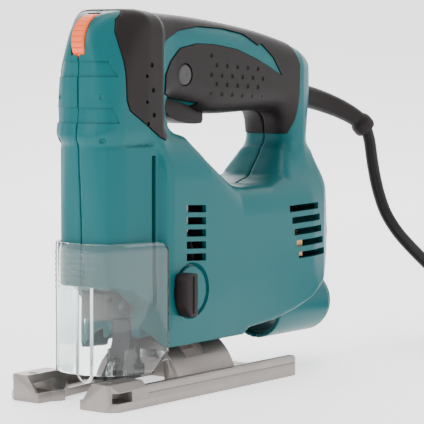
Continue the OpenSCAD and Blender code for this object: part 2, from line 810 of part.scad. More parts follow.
module base_plate() {
    color(cast_grey) difference() {
        union() {
            box(base_rear, base_front - 4, -base_half, base_half, 0, sole_t);
            for (side = [0, 1]) mirror([0, side, 0]) {
                box(base_rear, prong_x0 + 1, base_half - rail_w, base_half, 0, rail_h);
                prong();
            }
            intersection() {
                x_rod(2 * saddle_r, 0, 0, saddle_x0, saddle_x1);
                box(saddle_x0 - 1, saddle_x1 + 1, -40, 40, 0, 40);
            }
        }
        x_rod(2 * saddle_in, 0, 0, saddle_x0 + 3, saddle_x1 - 3);
        // blade slot, wide behind the prongs
        translate([0, 0, -1]) linear_extrude(30)
            polygon([[base_front + 2, -14], [27, -13], [23, -10], [20, -10], [18, -13.5], [11, -17], [-6, -19],
                [-23, -19], [-23, 19], [-6, 19], [11, 17], [18, 13.5], [20, 10], [23, 10], [27, 13],
                [base_front + 2, 14]]);
        box(saddle_x1 - 4, saddle_x1 + 1, -19, 19, -1, 24);
        // bolt window: along X for the slide, round the saddle for the tilt
        translate([bolt_x - bolt_slot, 0, 0]) rotate([90, 0, 90]) linear_extrude(base_travel + 2 * bolt_slot)
            polygon([[-bolt_slot, 12], [-bolt_slot, 50], [30, 50],
                tilted(bolt_slot, 50), tilted(bolt_slot, 12)]);
        // rip-fence bar slot through both prongs
        box(fence_x - fence_slot_w / 2, fence_x + fence_slot_w / 2, -50, 50,
            fence_slot_z, fence_slot_z + fence_slot_h);
        for (side = [-1, 1])
            translate([fence_x, side * fence_hole_y, fence_slot_z + 1]) cylinder(d = fence_screw_d, h = 20);
    }
}

module clamp_plate() {
    color(steel) difference() {
        intersection() {
            x_rod(2 * clamp_top_r, 0, 0, bolt_x - 13, bolt_x + 13 + base_travel);
            box(bolt_x - 14, bolt_x + 14 + base_travel, -clamp_half_y, clamp_half_y, clamp_bottom + 0.5, 30);
        }
        box(bolt_x - bolt_slot, bolt_x + bolt_slot + base_travel, -bolt_slot, bolt_slot, 10, 40);
    }
}

module base_bolt() {
    color(dark_steel) difference() {
        union() {
            translate([bolt_x, 0, clamp_bottom]) cylinder(d = bolt_d, h = 21);
            translate([bolt_x, 0, clamp_bottom - bolt_head_h]) cylinder(d = bolt_head_d, h = bolt_head_h);
        }
        translate([bolt_x, 0, clamp_bottom - bolt_head_h - 1]) cylinder(d = 5, h = 4, $fn = 6);
    }
}

module bolt_nut() {
    color(steel) difference() {
        box(bolt_x - 5, bolt_x + 5, -5, 5, 36, 41);
        translate([bolt_x, 0, 35]) cylinder(d = bolt_d, h = 7);
    }
}

module cover_wall() {
    intersection() {
        plan_prism(concat(cover_plan, cover_inner), cover_z0, cover_z0 + cover_h);
        side_prism([[24, cover_z0 - 1], [-2, cover_z0 - 1], [-14, cover_z0 + 12], [-14, cover_z0 + cover_h - 10],
            [-10, cover_z0 + cover_h - 3], [-4, cover_z0 + cover_h], [24, cover_z0 + cover_h]], -1, 50);
    }
}

module dust_cover() {
    color([0.8, 0.88, 0.9, 0.35]) {
        cover_wall();
        mirror_y() cover_wall();
    }
}

module wire_guard() {
    color(steel) {
        for (side = [0, 1]) mirror([0, side, 0]) {
            translate([wire_x, wire_y, 14.6]) cylinder(d = wire_d, h = wire_top - 14.6);
            translate([wire_x, wire_y + wire_bend, wire_top]) rotate([90, 0, 90]) rotate([0, 0, 90])
                wire_corner();
            y_rod(wire_d, wire_x, wire_top + wire_bend, wire_y + wire_bend - eps, wire_end);
        }
        translate([wire_x, 0, 14.6]) rotate([90, 0, 90]) rotate([0, 0, 180]) rotate_extrude(angle = 180)
            translate([wire_y, 0]) circle(d = wire_d, $fn = 24);
    }
}

module wire_corner() {
    rotate_extrude(angle = 90) translate([wire_bend, 0]) circle(d = wire_d, $fn = 24);
}

module dust_nozzle() {
    color(teal) difference() {
        x_rod(nozzle_bore_d + 2 * nozzle_wall, 0, nozzle_z, nozzle_x0, nozzle_x1);
        x_rod(nozzle_bore_d, 0, nozzle_z, nozzle_x0 - 1, nozzle_x1 + 1);
    }
}

// ---------------------------------------------------------------- cord

module strain_relief() {
    color(rubber_black) sweep(relief_route, relief_radii, 16);
}

module cord_clamp() {
    color([0.2, 0.2, 0.22]) difference() {
        box(-147, -139, -9, 9, 144, 148.6);
        for (side = [-1, 1]) translate([-143, side * 6.5, 140]) cylinder(d = 3, h = 12);
    }
}

module cord_clamp_screws() {
    color(steel) for (side = [-1, 1]) {
        translate([-143, side * 6.5, 145]) cylinder(d = 3, h = 5);
        translate([-143, side * 6.5, 148.6]) cylinder(d = 4.6, h = 2);
    }
}

module inner_lead() {
    color([0.1, 0.1, 0.1]) x_rod(cord_d, 0, 153, -159.8, -128);
}

module cord() {
    color([0.1, 0.1, 0.1]) sweep(cord_route, [for (p = cord_route) cord_d / 2], 10);
}

module cord_coil() {
    across = 2 * coil_half;
    color([0.1, 0.1, 0.1]) translate([coil_x, coil_y, coil_z]) rotate_extrude()
        translate([coil_r - coil_half, 0]) polygon([[2, 0], [across - 2, 0], [across, 2], [across, across - 2],
            [across - 2, across], [2, across], [0, across - 2], [0, 2]]);
}

module cord_tail() {
    color([0.1, 0.1, 0.1]) sweep(tail_route, [for (p = tail_route) cord_d / 2], 10);
}

module cord_tie() {
    top = coil_z + 2 * coil_half;
    color([0.1, 0.1, 0.1]) translate([coil_x, coil_y - coil_r, 0]) difference() {
        box(-5, 5, -coil_half - 1.8, coil_half + 1.8, 0.1, top + 1);
        box(-6, 6, -coil_half - 1, coil_half + 1, coil_z - 0.1, top + 0.1);
    }
}

module plug_body() {
    color([0.12, 0.12, 0.12]) translate([plug_x, plug_y, 0]) rotate([0, 0, -90]) intersection() {
        translate([0, 0, plug_z]) rotate([90, 0, 90]) linear_extrude(plug_len)
            polygon([[-17.5, 0], [-12, -8.5], [12, -8.5], [17.5, 0], [12, 8.5], [-12, 8.5]]);
        linear_extrude(40) polygon([[0, -6], [10, -7], [20, -17.8], [plug_len, -17.8], [plug_len, 17.8],
            [20, 17.8], [10, 7], [0, 6]]);
    }
}

module plug_pins() {
    color("silver") for (side = [-1, 1])
        y_rod(plug_pin_d, plug_x + side * plug_pin_gap / 2, plug_z,
            plug_y - plug_len - plug_pin_l, plug_y - plug_len);
}

housing_left();
housing_right();
grip_left();
grip_right();
gear_case();
lower_guide();
upper_guide();
gear_shaft();
front_bearing();
rear_bearing();
stator_core();
field_coils();
fan_baffle();
brush_holders();
carbon_brushes();
brush_springs();
switch_body();
speed_board();
housing_screws();
base_bolt();
bolt_nut();
bracket_pin();
wire_guard();
dust_nozzle();
strain_relief();
cord_clamp();
cord_clamp_screws();
inner_lead();
cord();
cord_coil();
cord_tail();
cord_tie();
plug_body();
plug_pins();
plunger_rod();
blade_clamp();
clamp_screw();
drive_gear();
crank_pin();
balance_weight();
armature_shaft();
armature_core();
armature_windings();
commutator();
fan();
clamp_plate();
base_plate();
dust_cover();
trigger();
lock_button();
speed_dial();
orbital_lever();
roller_bracket();
roller_pin();
roller();
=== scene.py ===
# %% [markdown]
# # A corded jigsaw, piece by piece
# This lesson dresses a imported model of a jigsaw. The frame gives every piece its place and its body, and
# the cells below make the shells, rubber, cast base, clear cover and cord that a hand and an eye would meet.

# %% Load the frame
import json
import math
import bpy
import bmesh
import numpy as np
import openvdb
from mathutils import Matrix, Vector


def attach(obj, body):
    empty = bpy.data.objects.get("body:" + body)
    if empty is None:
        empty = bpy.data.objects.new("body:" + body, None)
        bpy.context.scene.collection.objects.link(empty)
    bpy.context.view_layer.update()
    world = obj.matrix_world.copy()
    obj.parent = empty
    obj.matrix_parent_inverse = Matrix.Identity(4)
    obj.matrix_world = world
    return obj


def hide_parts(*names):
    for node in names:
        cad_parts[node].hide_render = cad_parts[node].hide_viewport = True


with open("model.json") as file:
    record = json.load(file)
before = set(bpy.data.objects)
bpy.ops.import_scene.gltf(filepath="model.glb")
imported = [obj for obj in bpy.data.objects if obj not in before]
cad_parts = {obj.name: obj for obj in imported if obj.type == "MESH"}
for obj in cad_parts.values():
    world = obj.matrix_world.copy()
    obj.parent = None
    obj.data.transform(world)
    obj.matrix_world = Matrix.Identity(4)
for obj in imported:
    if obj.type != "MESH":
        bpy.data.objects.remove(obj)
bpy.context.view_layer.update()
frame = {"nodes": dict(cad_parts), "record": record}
MM = 0.001

# %% [markdown]
# ## Camera
# A long lens from the front left, a little above the handle. The direction is a yaw from +X towards +Y and
# a small pitch down, and the three columns of the camera's matrix are its right, up and backward directions.

# %% Camera
CAMERA_AT = Vector((0.7724, 0.6584, 0.1733))
YAW, PITCH, ROLL = math.radians(37.39), math.radians(4.41), math.radians(0.14)
FOCAL_SHARE = 2000 / 424        # focal length over picture width


def camera_axes(yaw, pitch, roll):
    forward = Vector((-math.cos(yaw) * math.cos(pitch), -math.sin(yaw) * math.cos(pitch), -math.sin(pitch)))
    right = forward.cross(Vector((0, 0, 1))).normalized()
    up = right.cross(forward)
    turned_right = right * math.cos(roll) + up * math.sin(roll)
    turned_up = up * math.cos(roll) - right * math.sin(roll)
    return turned_right, turned_up, forward


def add_camera():
    data = bpy.data.cameras.new("camera")
    data.sensor_width = 36
    data.lens = FOCAL_SHARE * data.sensor_width
    data.clip_start, data.clip_end = 0.05, 20
    camera = bpy.data.objects.new("camera", data)
    bpy.context.scene.collection.objects.link(camera)
    right, up, forward = camera_axes(YAW, PITCH, ROLL)
    rows = Matrix((right, up, -forward)).transposed().to_4x4()
    camera.matrix_world = Matrix.Translation(CAMERA_AT) @ rows
    bpy.context.scene.camera = camera
    return camera


camera = add_camera()
print("lens in mm:", round(camera.data.lens, 1))

# %% [markdown]
# ## Helpers for meshes
# Most pieces here are closed meshes made from arrays of points. A few helpers turn points into objects, cut
# one mesh with another, and smooth everything that isn't a real edge.


# %% Mesh helpers
def new_object(name, points, faces):
    mesh = bpy.data.meshes.new(name)
    mesh.from_pydata([tuple(p) for p in points], [], [tuple(f) for f in faces])
    mesh.update()
    return link(name, mesh)


def link(name, mesh):
    piece = bpy.data.objects.new(name, mesh)
    bpy.context.scene.collection.objects.link(piece)
    return piece


def drop(*pieces):
    for piece in pieces:
        bpy.data.objects.remove(piece, do_unlink=True)


def soften(piece, angle=35):
    piece.data.polygons.foreach_set("use_smooth", [True] * len(piece.data.polygons))
    piece.data.set_sharp_from_angle(angle=math.radians(angle))
    return piece


def applied(piece):
    """The piece with its modifiers made real."""
    graph = bpy.context.evaluated_depsgraph_get()
    mesh = bpy.data.meshes.new_from_object(piece.evaluated_get(graph))
    piece.modifiers.clear()
    old = piece.data
    piece.data = mesh
    bpy.data.meshes.remove(old)
    return piece


def combine(piece, other, how, keep=False):
    """Joins, cuts or intersects two closed meshes."""
    step = piece.modifiers.new("combine", "BOOLEAN")
    step.solver, step.operation, step.object = "MANIFOLD", how, other
    applied(piece)
    if not keep:
        drop(other)
    return piece


def cut(piece, *tools):
    for tool in tools:
        combine(piece, tool, "DIFFERENCE")
    return piece


def bevelled(piece, width, segments=2, angle=40):
    step = piece.modifiers.new("bevel", "BEVEL")
    step.width, step.segments, step.limit_method = width * MM, segments, "ANGLE"
    step.angle_limit = math.radians(angle)
    step.use_clamp_overlap = True
    return applied(piece)


def prism(name, outline, axis, low, high):
    """A flat outline, in mm, made thick along one axis. Axis y takes (x, z), z takes (x, y), x takes (y, z)."""
    order = {"x": lambda a, b, h: (h, a, b), "y": lambda a, b, h: (a, h, b), "z": lambda a, b,
             h: (a, b, h)}[axis]
    n = len(outline)
    points = [Vector(order(a, b, h)) * MM for h in (low, high) for a, b in outline]
    sides = [(i, (i + 1) % n, n + (i + 1) % n, n + i) for i in range(n)]
    piece = new_object(name, points, sides + [tuple(range(n))[::-1], tuple(range(n, 2 * n))])
    return outward(piece)


def outward(piece):
    mesh = bmesh.new()
    mesh.from_mesh(piece.data)
    bmesh.ops.recalc_face_normals(mesh, faces=mesh.faces)
    mesh.to_mesh(piece.data)
    mesh.free()
    return piece


def block(name, low, high):
    return prism(name, [(low[0], low[1]), (high[0], low[1]), (high[0], high[1]), (low[0], high[1])], "z",
                 low[2], high[2])


def rod(name, axis, centre, radius, low, high, sides=32):
    ring = [(centre[0] + radius * math.cos(2 * math.pi * i / sides),
             centre[1] + radius * math.sin(2 * math.pi * i / sides))
            for i in range(sides)]
    return prism(name, ring, axis, low, high)


def arc(centre, radius, start, end, count=8):
    """Points on an arc, angles in degrees."""
    angles = np.radians(np.linspace(start, end, count))
    return [(centre[0] + radius * math.cos(a), centre[1] + radius * math.sin(a)) for a in angles]


def smooth_line(points, closed=True, steps=8):
    """A rounded curve through a few chosen points (Catmull-Rom)."""
    p = np.array(points, float)
    n = len(p)
    out = []
    for i in range(n if closed else n - 1):
        a, b, c, d = (p[(i + k) % n] if closed else p[min(max(i + k, 0), n - 1)] for k in (-1, 0, 1, 2))
        for t in np.arange(steps) / steps:
            start = 2 * b + (c - a) * t + (2 * a - 5 * b + 4 * c - d) * t ** 2
            out.append(0.5 * (start + (3 * b - a - 3 * c + d) * t ** 3))
    if not closed:
        out.append(p[-1])
    return [tuple(q) for q in out]


print("helpers ready")

# %% [markdown]
# ## The cord's route
# A mains lead is a fixed length of something bendy. It leaves the handle inside a tapered strain relief,
# drops under its own weight, and the spare length is stored as a coil of about eight turns, in three lanes
# and three layers, with the plug laid on top. The turns follow a rule, so they are worked out; the hanging
# stretch is a list of points.

# %% Cord route
CORD_D = 7.0
RELIEF_MM = [(-160, 0, 153), (-168, 0, 152.5), (-177, 2, 151), (-187, 6, 148), (-197, 12, 143.5),
             (-205, 17.5, 138), (-210, 21, 131.5)]
ROUTE_MM = [(-210, 21, 131.5), (-211, 22.5, 125), (-210, 24.5, 117), (-208, 28, 106), (-206, 32.5, 95),
            (-205, 38, 84), (-204.5, 46, 74), (-204, 55, 66), (-204, 65, 58), (-205, 74.5, 50.5),
            (-208, 84, 43),
            (-214.5, 93.5, 35), (-224.5, 101.8, 26.5), (-237, 106.9, 18), (-250.5, 109, 11.2),
            (-266, 109.3, 6.6), (-281, 109, 4.7)]
COIL_AT = (-291.0, 67.0)
COIL_R = 35.0
COIL_FLOOR = 1.0
COIL_START, COIL_END = 100, 3045
TAIL_MM = [(-317.2, 70, 30.7)]
# Where the winding steps: the angle at which it starts to move, its new lane and layer, and how long it takes.
STEPS = [(340, 0, 0, 70), (700, -1, 0, 70), (990, -1, 1, 70), (1280, 0, 1, 70), (1640, 1, 1, 70),
         (1930, 1, 2, 70),
         (2220, 0, 2, 70), (2580, -1, 2, 70), (2900, -1.28, 3.743, 145)]


def ease(t):
    return 0.5 - 0.5 * math.cos(math.pi * min(max(t, 0.0), 1.0))


def coil_points(step=10):
    """Turns in along the bottom, out along the middle, in along the top, and then up to the plug."""
    points = []
    for angle in range(COIL_START, COIL_END + 1, step):
        lane, layer = 1.0, 0.0
        for start, new_lane, new_layer, width in STEPS:
            t = ease((angle - start) / width)
            lane += (new_lane - lane) * t
            layer += (new_layer - layer) * t
        a = math.radians(angle)
        radius = COIL_R + CORD_D * lane
        points.append((COIL_AT[0] + radius * math.cos(a), COIL_AT[1] + radius * math.sin(a),
                       COIL_FLOOR + CORD_D * (0.5 + layer)))
    return points


def dense(points, spacing=3.0):
    """The same smooth line with points a set distance apart."""
    fine = np.array(smooth_line(points, closed=False, steps=12))
    gone = np.concatenate([[0], np.cumsum(np.linalg.norm(np.diff(fine, axis=0), axis=1))])
    marks = np.linspace(0, gone[-1], max(2, int(gone[-1] / spacing)))
    return np.stack([np.interp(marks, gone, fine[:, k]) for k in range(3)], axis=1)


def line_length(points):
    return float(np.linalg.norm(np.diff(np.array(points), axis=0), axis=1).sum())


cord_line = dense(ROUTE_MM + coil_points() + TAIL_MM)
print("cord length in m:", round(line_length(cord_line) * MM, 3))

# %% [markdown]
# ## Geometry Nodes for what repeats
# Vents, ribs, knurls and dimples come in rows and rings. Three small node trees place copies of one piece along
# a line, round an axis or on a list of points, so that a count and a step are all that each pattern needs.


# %% Repeat trees
def new_tree(name, inputs):
    tree = bpy.data.node_groups.new(name, "GeometryNodeTree")
    tree.interface.new_socket("Geometry", in_out="INPUT", socket_type="NodeSocketGeometry")
    for label, kind in inputs:
        tree.interface.new_socket(label, in_out="INPUT", socket_type="NodeSocket" + kind)
    tree.interface.new_socket("Geometry", in_out="OUTPUT", socket_type="NodeSocketGeometry")
    return tree, tree.nodes.new("NodeGroupInput"), tree.nodes.new("NodeGroupOutput")


def finish_tree(tree, entry, leave, points, rotation=None):
    """Instances the chosen piece on the points, makes them real and gives them the material."""
    add, join = tree.nodes.new, tree.links.new
    info = add("GeometryNodeObjectInfo")
    info.transform_space = "ORIGINAL"
    place = add("GeometryNodeInstanceOnPoints")
    real = add("GeometryNodeRealizeInstances")
    paint = add("GeometryNodeSetMaterial")
    join(entry.outputs["Piece"], info.inputs["Object"])
    join(info.outputs["Geometry"], place.inputs["Instance"])
    join(points, place.inputs["Points"])
    if rotation is not None:
        join(rotation, place.inputs["Rotation"])
    join(place.outputs["Instances"], real.inputs["Geometry"])
    join(real.outputs["Geometry"], paint.inputs["Geometry"])
    join(entry.outputs["Material"], paint.inputs["Material"])
    join(paint.outputs["Geometry"], leave.inputs["Geometry"])
    return tree


def row_tree():
    tree, entry, leave = new_tree("row_of_pieces", [("Piece", "Object"), ("Count", "Int"), ("Step", "Vector"),
                                                    ("Material", "Material")])
    line = tree.nodes.new("GeometryNodeMeshLine")
    line.mode = "OFFSET"
    tree.links.new(entry.outputs["Count"], line.inputs["Count"])
    tree.links.new(entry.outputs["Step"], line.inputs["Offset"])
    return finish_tree(tree, entry, leave, line.outputs["Mesh"])


def ring_tree():
    """Copies turned about the Y axis through the origin."""
    tree, entry, leave = new_tree("ring_of_pieces", [("Piece", "Object"), ("Count", "Int"), ("Turn", "Float"),
                                                     ("Material", "Material")])
    add, join = tree.nodes.new, tree.links.new
    line = add("GeometryNodeMeshLine")
    line.mode = "OFFSET"
    line.inputs["Offset"].default_value = (0, 0, 0)
    index = add("GeometryNodeInputIndex")
    times = add("ShaderNodeMath")
    times.operation = "MULTIPLY"
    pack = add("ShaderNodeCombineXYZ")
    join(entry.outputs["Count"], line.inputs["Count"])
    join(index.outputs["Index"], times.inputs[0])
    join(entry.outputs["Turn"], times.inputs[1])
    join(times.outputs["Value"], pack.inputs["Y"])
    return finish_tree(tree, entry, leave, line.outputs["Mesh"], pack.outputs["Vector"])


def points_tree():
    tree, entry, leave = new_tree("pieces_on_points", [("Piece", "Object"), ("Material", "Material")])
    return finish_tree(tree, entry, leave, entry.outputs["Geometry"])


TREES = {"row": row_tree(), "ring": ring_tree(), "points": points_tree()}


def repeated(name, piece, tree, points=((0, 0, 0),), **values):
    """A mesh of copies of piece, made by one of the trees and then made plain. The sample piece is removed."""
    host = new_object(name, [Vector(p) * MM for p in points], [])
    step = host.modifiers.new(tree, "NODES")
    step.node_group = TREES[tree]
    values["Piece"] = piece
    values.setdefault("Material", None)
    for item in TREES[tree].interface.items_tree:
        if item.in_out == "INPUT" and item.name in values:
            step[item.identifier] = values[item.name]
    applied(host)
    drop(piece)
    return host


def merged(name, *pieces):
    """Several separate closed meshes as one object."""
    points, faces = [], []
    for piece in pieces:
        first = len(points)
        points += [v.co.copy() for v in piece.data.vertices]
        faces += [[first + i for i in p.vertices] for p in piece.data.polygons]
    drop(*pieces)
    return new_object(name, points, faces)


def ball(name, centre, radius, rings=10, sides=16):
    """A sphere in mm, used as a cutter for dimples."""
    mesh = bmesh.new()
    bmesh.ops.create_uvsphere(mesh, u_segments=sides, v_segments=rings, radius=radius * MM)
    for v in mesh.verts:
        v.co += Vector(centre) * MM
    data = bpy.data.meshes.new(name)
    mesh.to_mesh(data)
    mesh.free()
    return link(name, data)


def mirrored(name, piece):
    """A copy on the other side of the seam."""
    data = piece.data.copy()
    data.transform(Matrix.Scale(-1, 4, (0, 1, 0)))
    data.flip_normals()
    return link(name, data)


def tube(name, path, radii, sides=16):
    """A closed tube along points in mm, with one radius or a radius for each point."""
    p = np.array(path, float)
    n = len(p)
    radii = np.broadcast_to(np.array(radii, float), (n,))
    t = np.gradient(p, axis=0)
    t /= np.linalg.norm(t, axis=1)[:, None]
    normal = np.cross(t[0], (0.3, 0.1, 1.0) if abs(t[0][2]) < 0.8 else (1.0, 0.2, 0.1))
    points = []
    for i in range(n):
        normal = normal - t[i] * normal.dot(t[i])
        normal /= np.linalg.norm(normal)
        other = np.cross(t[i], normal)
        for k in range(sides):
            a = 2 * math.pi * k / sides
            points.append((p[i] + radii[i] * (math.cos(a) * normal + math.sin(a) * other)) * MM)
    faces = [(i * sides + k, i * sides + (k + 1) % sides, (i + 1) * sides + (k + 1) % sides,
              (i + 1) * sides + k)
             for i in range(n - 1) for k in range(sides)]
    faces += [tuple(range(sides))[::-1], tuple((n - 1) * sides + k for k in range(sides))]
    return outward(new_object(name, points, faces))


def lathe(name, profile, axis, centre, sides=64):
    """A closed ring of (radius, height) points in mm, turned about an axis through centre."""
    n = len(profile)
    points, faces = [], []
    for k in range(sides):
        a = 2 * math.pi * k / sides
        for r, h in profile:
            c, s = r * math.cos(a), r * math.sin(a)
            local = {"x": (h, c, s), "y": (c, h, s), "z": (c, s, h)}[axis]
            points.append((Vector(centre) + Vector(local)) * MM)
    for k in range(sides):
        m = (k + 1) % sides
        faces += [(k * n + i, m * n + i, m * n + (i + 1) % n, k * n + (i + 1) % n) for i in range(n)]
    piece = new_object(name, points, faces)
    weld = bmesh.new()
    weld.from_mesh(piece.data)
    bmesh.ops.remove_doubles(weld, verts=weld.verts, dist=1e-7)
    bmesh.ops.dissolve_degenerate(weld, edges=weld.edges, dist=1e-8)
    weld.to_mesh(piece.data)
    weld.free()
    return outward(piece)


print("trees ready:", ", ".join(TREES))

# %% [markdown]
# ## Materials
# Moulded plastic, soft rubber, sand-cast aluminium and turned steel differ in colour, in how rough they are and
# in how their edges wear. Three shared groups give the grain, the worn edges and the dust as plain values, and
# each material mixes those into its own shader.


# %% Shader groups
def shader_group(name, inputs, outputs):
    group = bpy.data.node_groups.new(name, "ShaderNodeTree")
    for label, kind, value in inputs:
        socket = group.interface.new_socket(label, in_out="INPUT", socket_type="NodeSocket" + kind)
        if value is not None:
            socket.default_value = value
    for label, kind in outputs:
        group.interface.new_socket(label, in_out="OUTPUT", socket_type="NodeSocket" + kind)
    return group, group.nodes.new("NodeGroupInput"), group.nodes.new("NodeGroupOutput")


def grain_group():
    """A fine relief: its height as a value and its slope as a normal."""
    group, entry, leave = shader_group("fine_grain", [("Vector", "Vector", None), ("Scale", "Float", 900.0),
                                                      ("Strength", "Float", 0.2), ("Depth", "Float", 0.0001)],
                                       [("Value", "Float"), ("Normal", "Vector")])
    add, join = group.nodes.new, group.links.new
    noise = add("ShaderNodeTexNoise")
    noise.inputs["Detail"].default_value = 3
    bump = add("ShaderNodeBump")
    join(entry.outputs["Vector"], noise.inputs["Vector"])
    join(entry.outputs["Scale"], noise.inputs["Scale"])
    join(noise.outputs["Fac"], bump.inputs["Height"])
    join(entry.outputs["Strength"], bump.inputs["Strength"])
    join(entry.outputs["Depth"], bump.inputs["Distance"])
    join(noise.outputs["Fac"], leave.inputs["Value"])
    join(bump.outputs["Normal"], leave.inputs["Normal"])
    return group


def wear_group():
    """A mask that is high on outer edges, broken up by noise."""
    group, entry, leave = shader_group("edge_wear", [("Vector", "Vector", None), ("Amount", "Float", 0.3)],
                                       [("Mask", "Float")])
    add, join = group.nodes.new, group.links.new
    shape = add("ShaderNodeNewGeometry")
    ramp = add("ShaderNodeMapRange")
    ramp.inputs["From Min"].default_value = 0.53
    ramp.inputs["From Max"].default_value = 0.64
    noise = add("ShaderNodeTexNoise")
    noise.inputs["Scale"].default_value = 130
    noise.inputs["Detail"].default_value = 4
    first, second = add("ShaderNodeMath"), add("ShaderNodeMath")
    first.operation = second.operation = "MULTIPLY"
    join(shape.outputs["Pointiness"], ramp.inputs["Value"])
    join(entry.outputs["Vector"], noise.inputs["Vector"])
    join(ramp.outputs["Result"], first.inputs[0])
    join(noise.outputs["Fac"], first.inputs[1])
    join(first.outputs["Value"], second.inputs[0])
    join(entry.outputs["Amount"], second.inputs[1])
    join(second.outputs["Value"], leave.inputs["Mask"])
    return group


def dust_group():
    """A mask for fine dust on faces that look up."""
    group, entry, leave = shader_group("fine_dust", [("Vector", "Vector", None), ("Amount", "Float", 0.1)],
                                       [("Mask", "Float")])
    add, join = group.nodes.new, group.links.new
    shape, split, noise = add("ShaderNodeNewGeometry"), add("ShaderNodeSeparateXYZ"), add("ShaderNodeTexNoise")
    noise.inputs["Scale"].default_value = 60
    noise.inputs["Detail"].default_value = 6
    first, second = add("ShaderNodeMath"), add("ShaderNodeMath")
    first.operation = second.operation = "MULTIPLY"
    first.use_clamp = True
    join(shape.outputs["Normal"], split.inputs["Vector"])
    join(entry.outputs["Vector"], noise.inputs["Vector"])
    join(split.outputs["Z"], first.inputs[0])
    join(noise.outputs["Fac"], first.inputs[1])
    join(first.outputs["Value"], second.inputs[0])
    join(entry.outputs["Amount"], second.inputs[1])
    join(second.outputs["Value"], leave.inputs["Mask"])
    return group


GRAIN, WEAR, DUST = grain_group(), wear_group(), dust_group()
print("shader groups ready")


# %% Materials
def finish_of(name, colour, rough, metallic=0.0, grain=(900, 0.15, 0.0001), wear=0.25, dust=0.08, spread=0.06,
              gloss=0.5):
    """A procedural finish. Colour and roughness vary with the grain, edges are worn and upper faces dusty."""
    made = bpy.data.materials.new(name)
    made.use_nodes = True
    nodes, join = made.node_tree.nodes, made.node_tree.links.new
    shader = nodes["Principled BSDF"]
    place = nodes.new("ShaderNodeTexCoord").outputs["Object"]

    def group(tree, **values):
        node = nodes.new("ShaderNodeGroup")
        node.node_tree = tree
        join(place, node.inputs["Vector"])
        for key, value in values.items():
            node.inputs[key].default_value = value
        return node

    def mixed(factor, first, second, kind="RGBA"):
        node = nodes.new("ShaderNodeMix")
        node.data_type = kind
        a, b = (6, 7) if kind == "RGBA" else (2, 3)
        join(factor, node.inputs[0])
        for slot, value in ((a, first), (b, second)):
            if hasattr(value, "links"):
                join(value, node.inputs[slot])
            else:
                node.inputs[slot].default_value = (*value, 1) if kind == "RGBA" else value
        return node.outputs[2 if kind == "RGBA" else 0]

    fine = group(GRAIN, Scale=grain[0], Strength=grain[1], Depth=grain[2])
    worn = group(WEAR, Amount=wear)
    dusty = group(DUST, Amount=dust)
    darker = tuple(c * (1 - spread) for c in colour)
    lighter = tuple(min(1, c * (1 + spread)) for c in colour)
    edge = tuple(min(1, c * 1.5 + 0.05) for c in colour)
    base = mixed(fine.outputs["Value"], darker, lighter)
    base = mixed(worn.outputs["Mask"], base, edge)
    base = mixed(dusty.outputs["Mask"], base, (0.62, 0.58, 0.52))
    join(base, shader.inputs["Base Color"])
    join(mixed(fine.outputs["Value"], rough * 0.85, min(1, rough * 1.15), "FLOAT"), shader.inputs["Roughness"])
    join(fine.outputs["Normal"], shader.inputs["Normal"])
    shader.inputs["Metallic"].default_value = metallic
    shader.inputs["Specular IOR Level"].default_value = gloss
    return made


def clear_plastic(name, tint, rough):
    made = bpy.data.materials.new(name)
    made.use_nodes = True
    nodes, join = made.node_tree.nodes, made.node_tree.links.new
    shader = nodes["Principled BSDF"]
    place = nodes.new("ShaderNodeTexCoord").outputs["Object"]
    fine = nodes.new("ShaderNodeGroup")
    fine.node_tree = GRAIN
    join(place, fine.inputs["Vector"])
    fine.inputs["Scale"].default_value = 160
    fine.inputs["Strength"].default_value = 0.005
    join(fine.outputs["Normal"], shader.inputs["Normal"])
    shader.inputs["Base Color"].default_value = (*tint, 1)
    shader.inputs["Roughness"].default_value = rough
    shader.inputs["Metallic"].default_value = 0.0
    shader.inputs["Transmission Weight"].default_value = 1.0
    shader.inputs["IOR"].default_value = 1.45
    return made


PAINT = {
    "housing": finish_of("teal_plastic", (0.0, 0.088, 0.098), 0.36, grain=(1500, 0.25, 0.00012), wear=0.10,
                         spread=0.05,
                         dust=0.03, gloss=0.22),
    "rubber": finish_of("soft_rubber", (0.0085, 0.0052, 0.0056), 0.5, grain=(1700, 0.35, 0.00015),
                        wear=0.06, dust=0.02,
                        gloss=0.2),
    "cast": finish_of("cast_aluminium", (0.25, 0.225, 0.21), 0.42, metallic=0.85, grain=(700, 0.45, 0.0002),
                      wear=0.5),
    "steel": finish_of("bright_steel", (0.58, 0.57, 0.56), 0.26, metallic=1.0, grain=(400, 0.08, 0.00005),
                       dust=0.03),
    "dark_steel": finish_of("dark_steel", (0.075, 0.07, 0.07), 0.38, metallic=0.7, grain=(600, 0.2, 0.0001),
                            wear=0.5),
    "copper": finish_of("lacquered_copper", (0.55, 0.24, 0.11), 0.35, metallic=1.0, grain=(350, 0.3, 0.0001)),
    "bronze": finish_of("sintered_bronze", (0.45, 0.30, 0.14), 0.45, metallic=1.0, grain=(900, 0.3, 0.0001)),
    "black_plastic": finish_of("black_plastic", (0.022, 0.02, 0.021), 0.5, grain=(1200, 0.25, 0.0001),
                               wear=0.15),
    "dial": finish_of("orange_plastic", (0.85, 0.12, 0.015), 0.42, grain=(1300, 0.2, 0.0001), wear=0.1,
                      dust=0.02),
    "clear": clear_plastic("clear_plastic", (0.93, 0.99, 0.99), 0.03),
    "board": finish_of("circuit_board", (0.02, 0.13, 0.05), 0.4, grain=(500, 0.2, 0.0001)),
    "cord": finish_of("cord_rubber", (0.006, 0.0046, 0.0046), 0.45, grain=(1400, 0.3, 0.0001), wear=0.0,
                      dust=0.02, gloss=0.25),
    "plated": finish_of("plated_brass", (0.72, 0.70, 0.66), 0.22, metallic=1.0, grain=(300, 0.05, 0.00005),
                        dust=0.02),
    "wire": finish_of("guard_wire", (0.78, 0.77, 0.75), 0.22, metallic=1.0, grain=(500, 0.1, 0.00005),
                      dust=0.02),
}


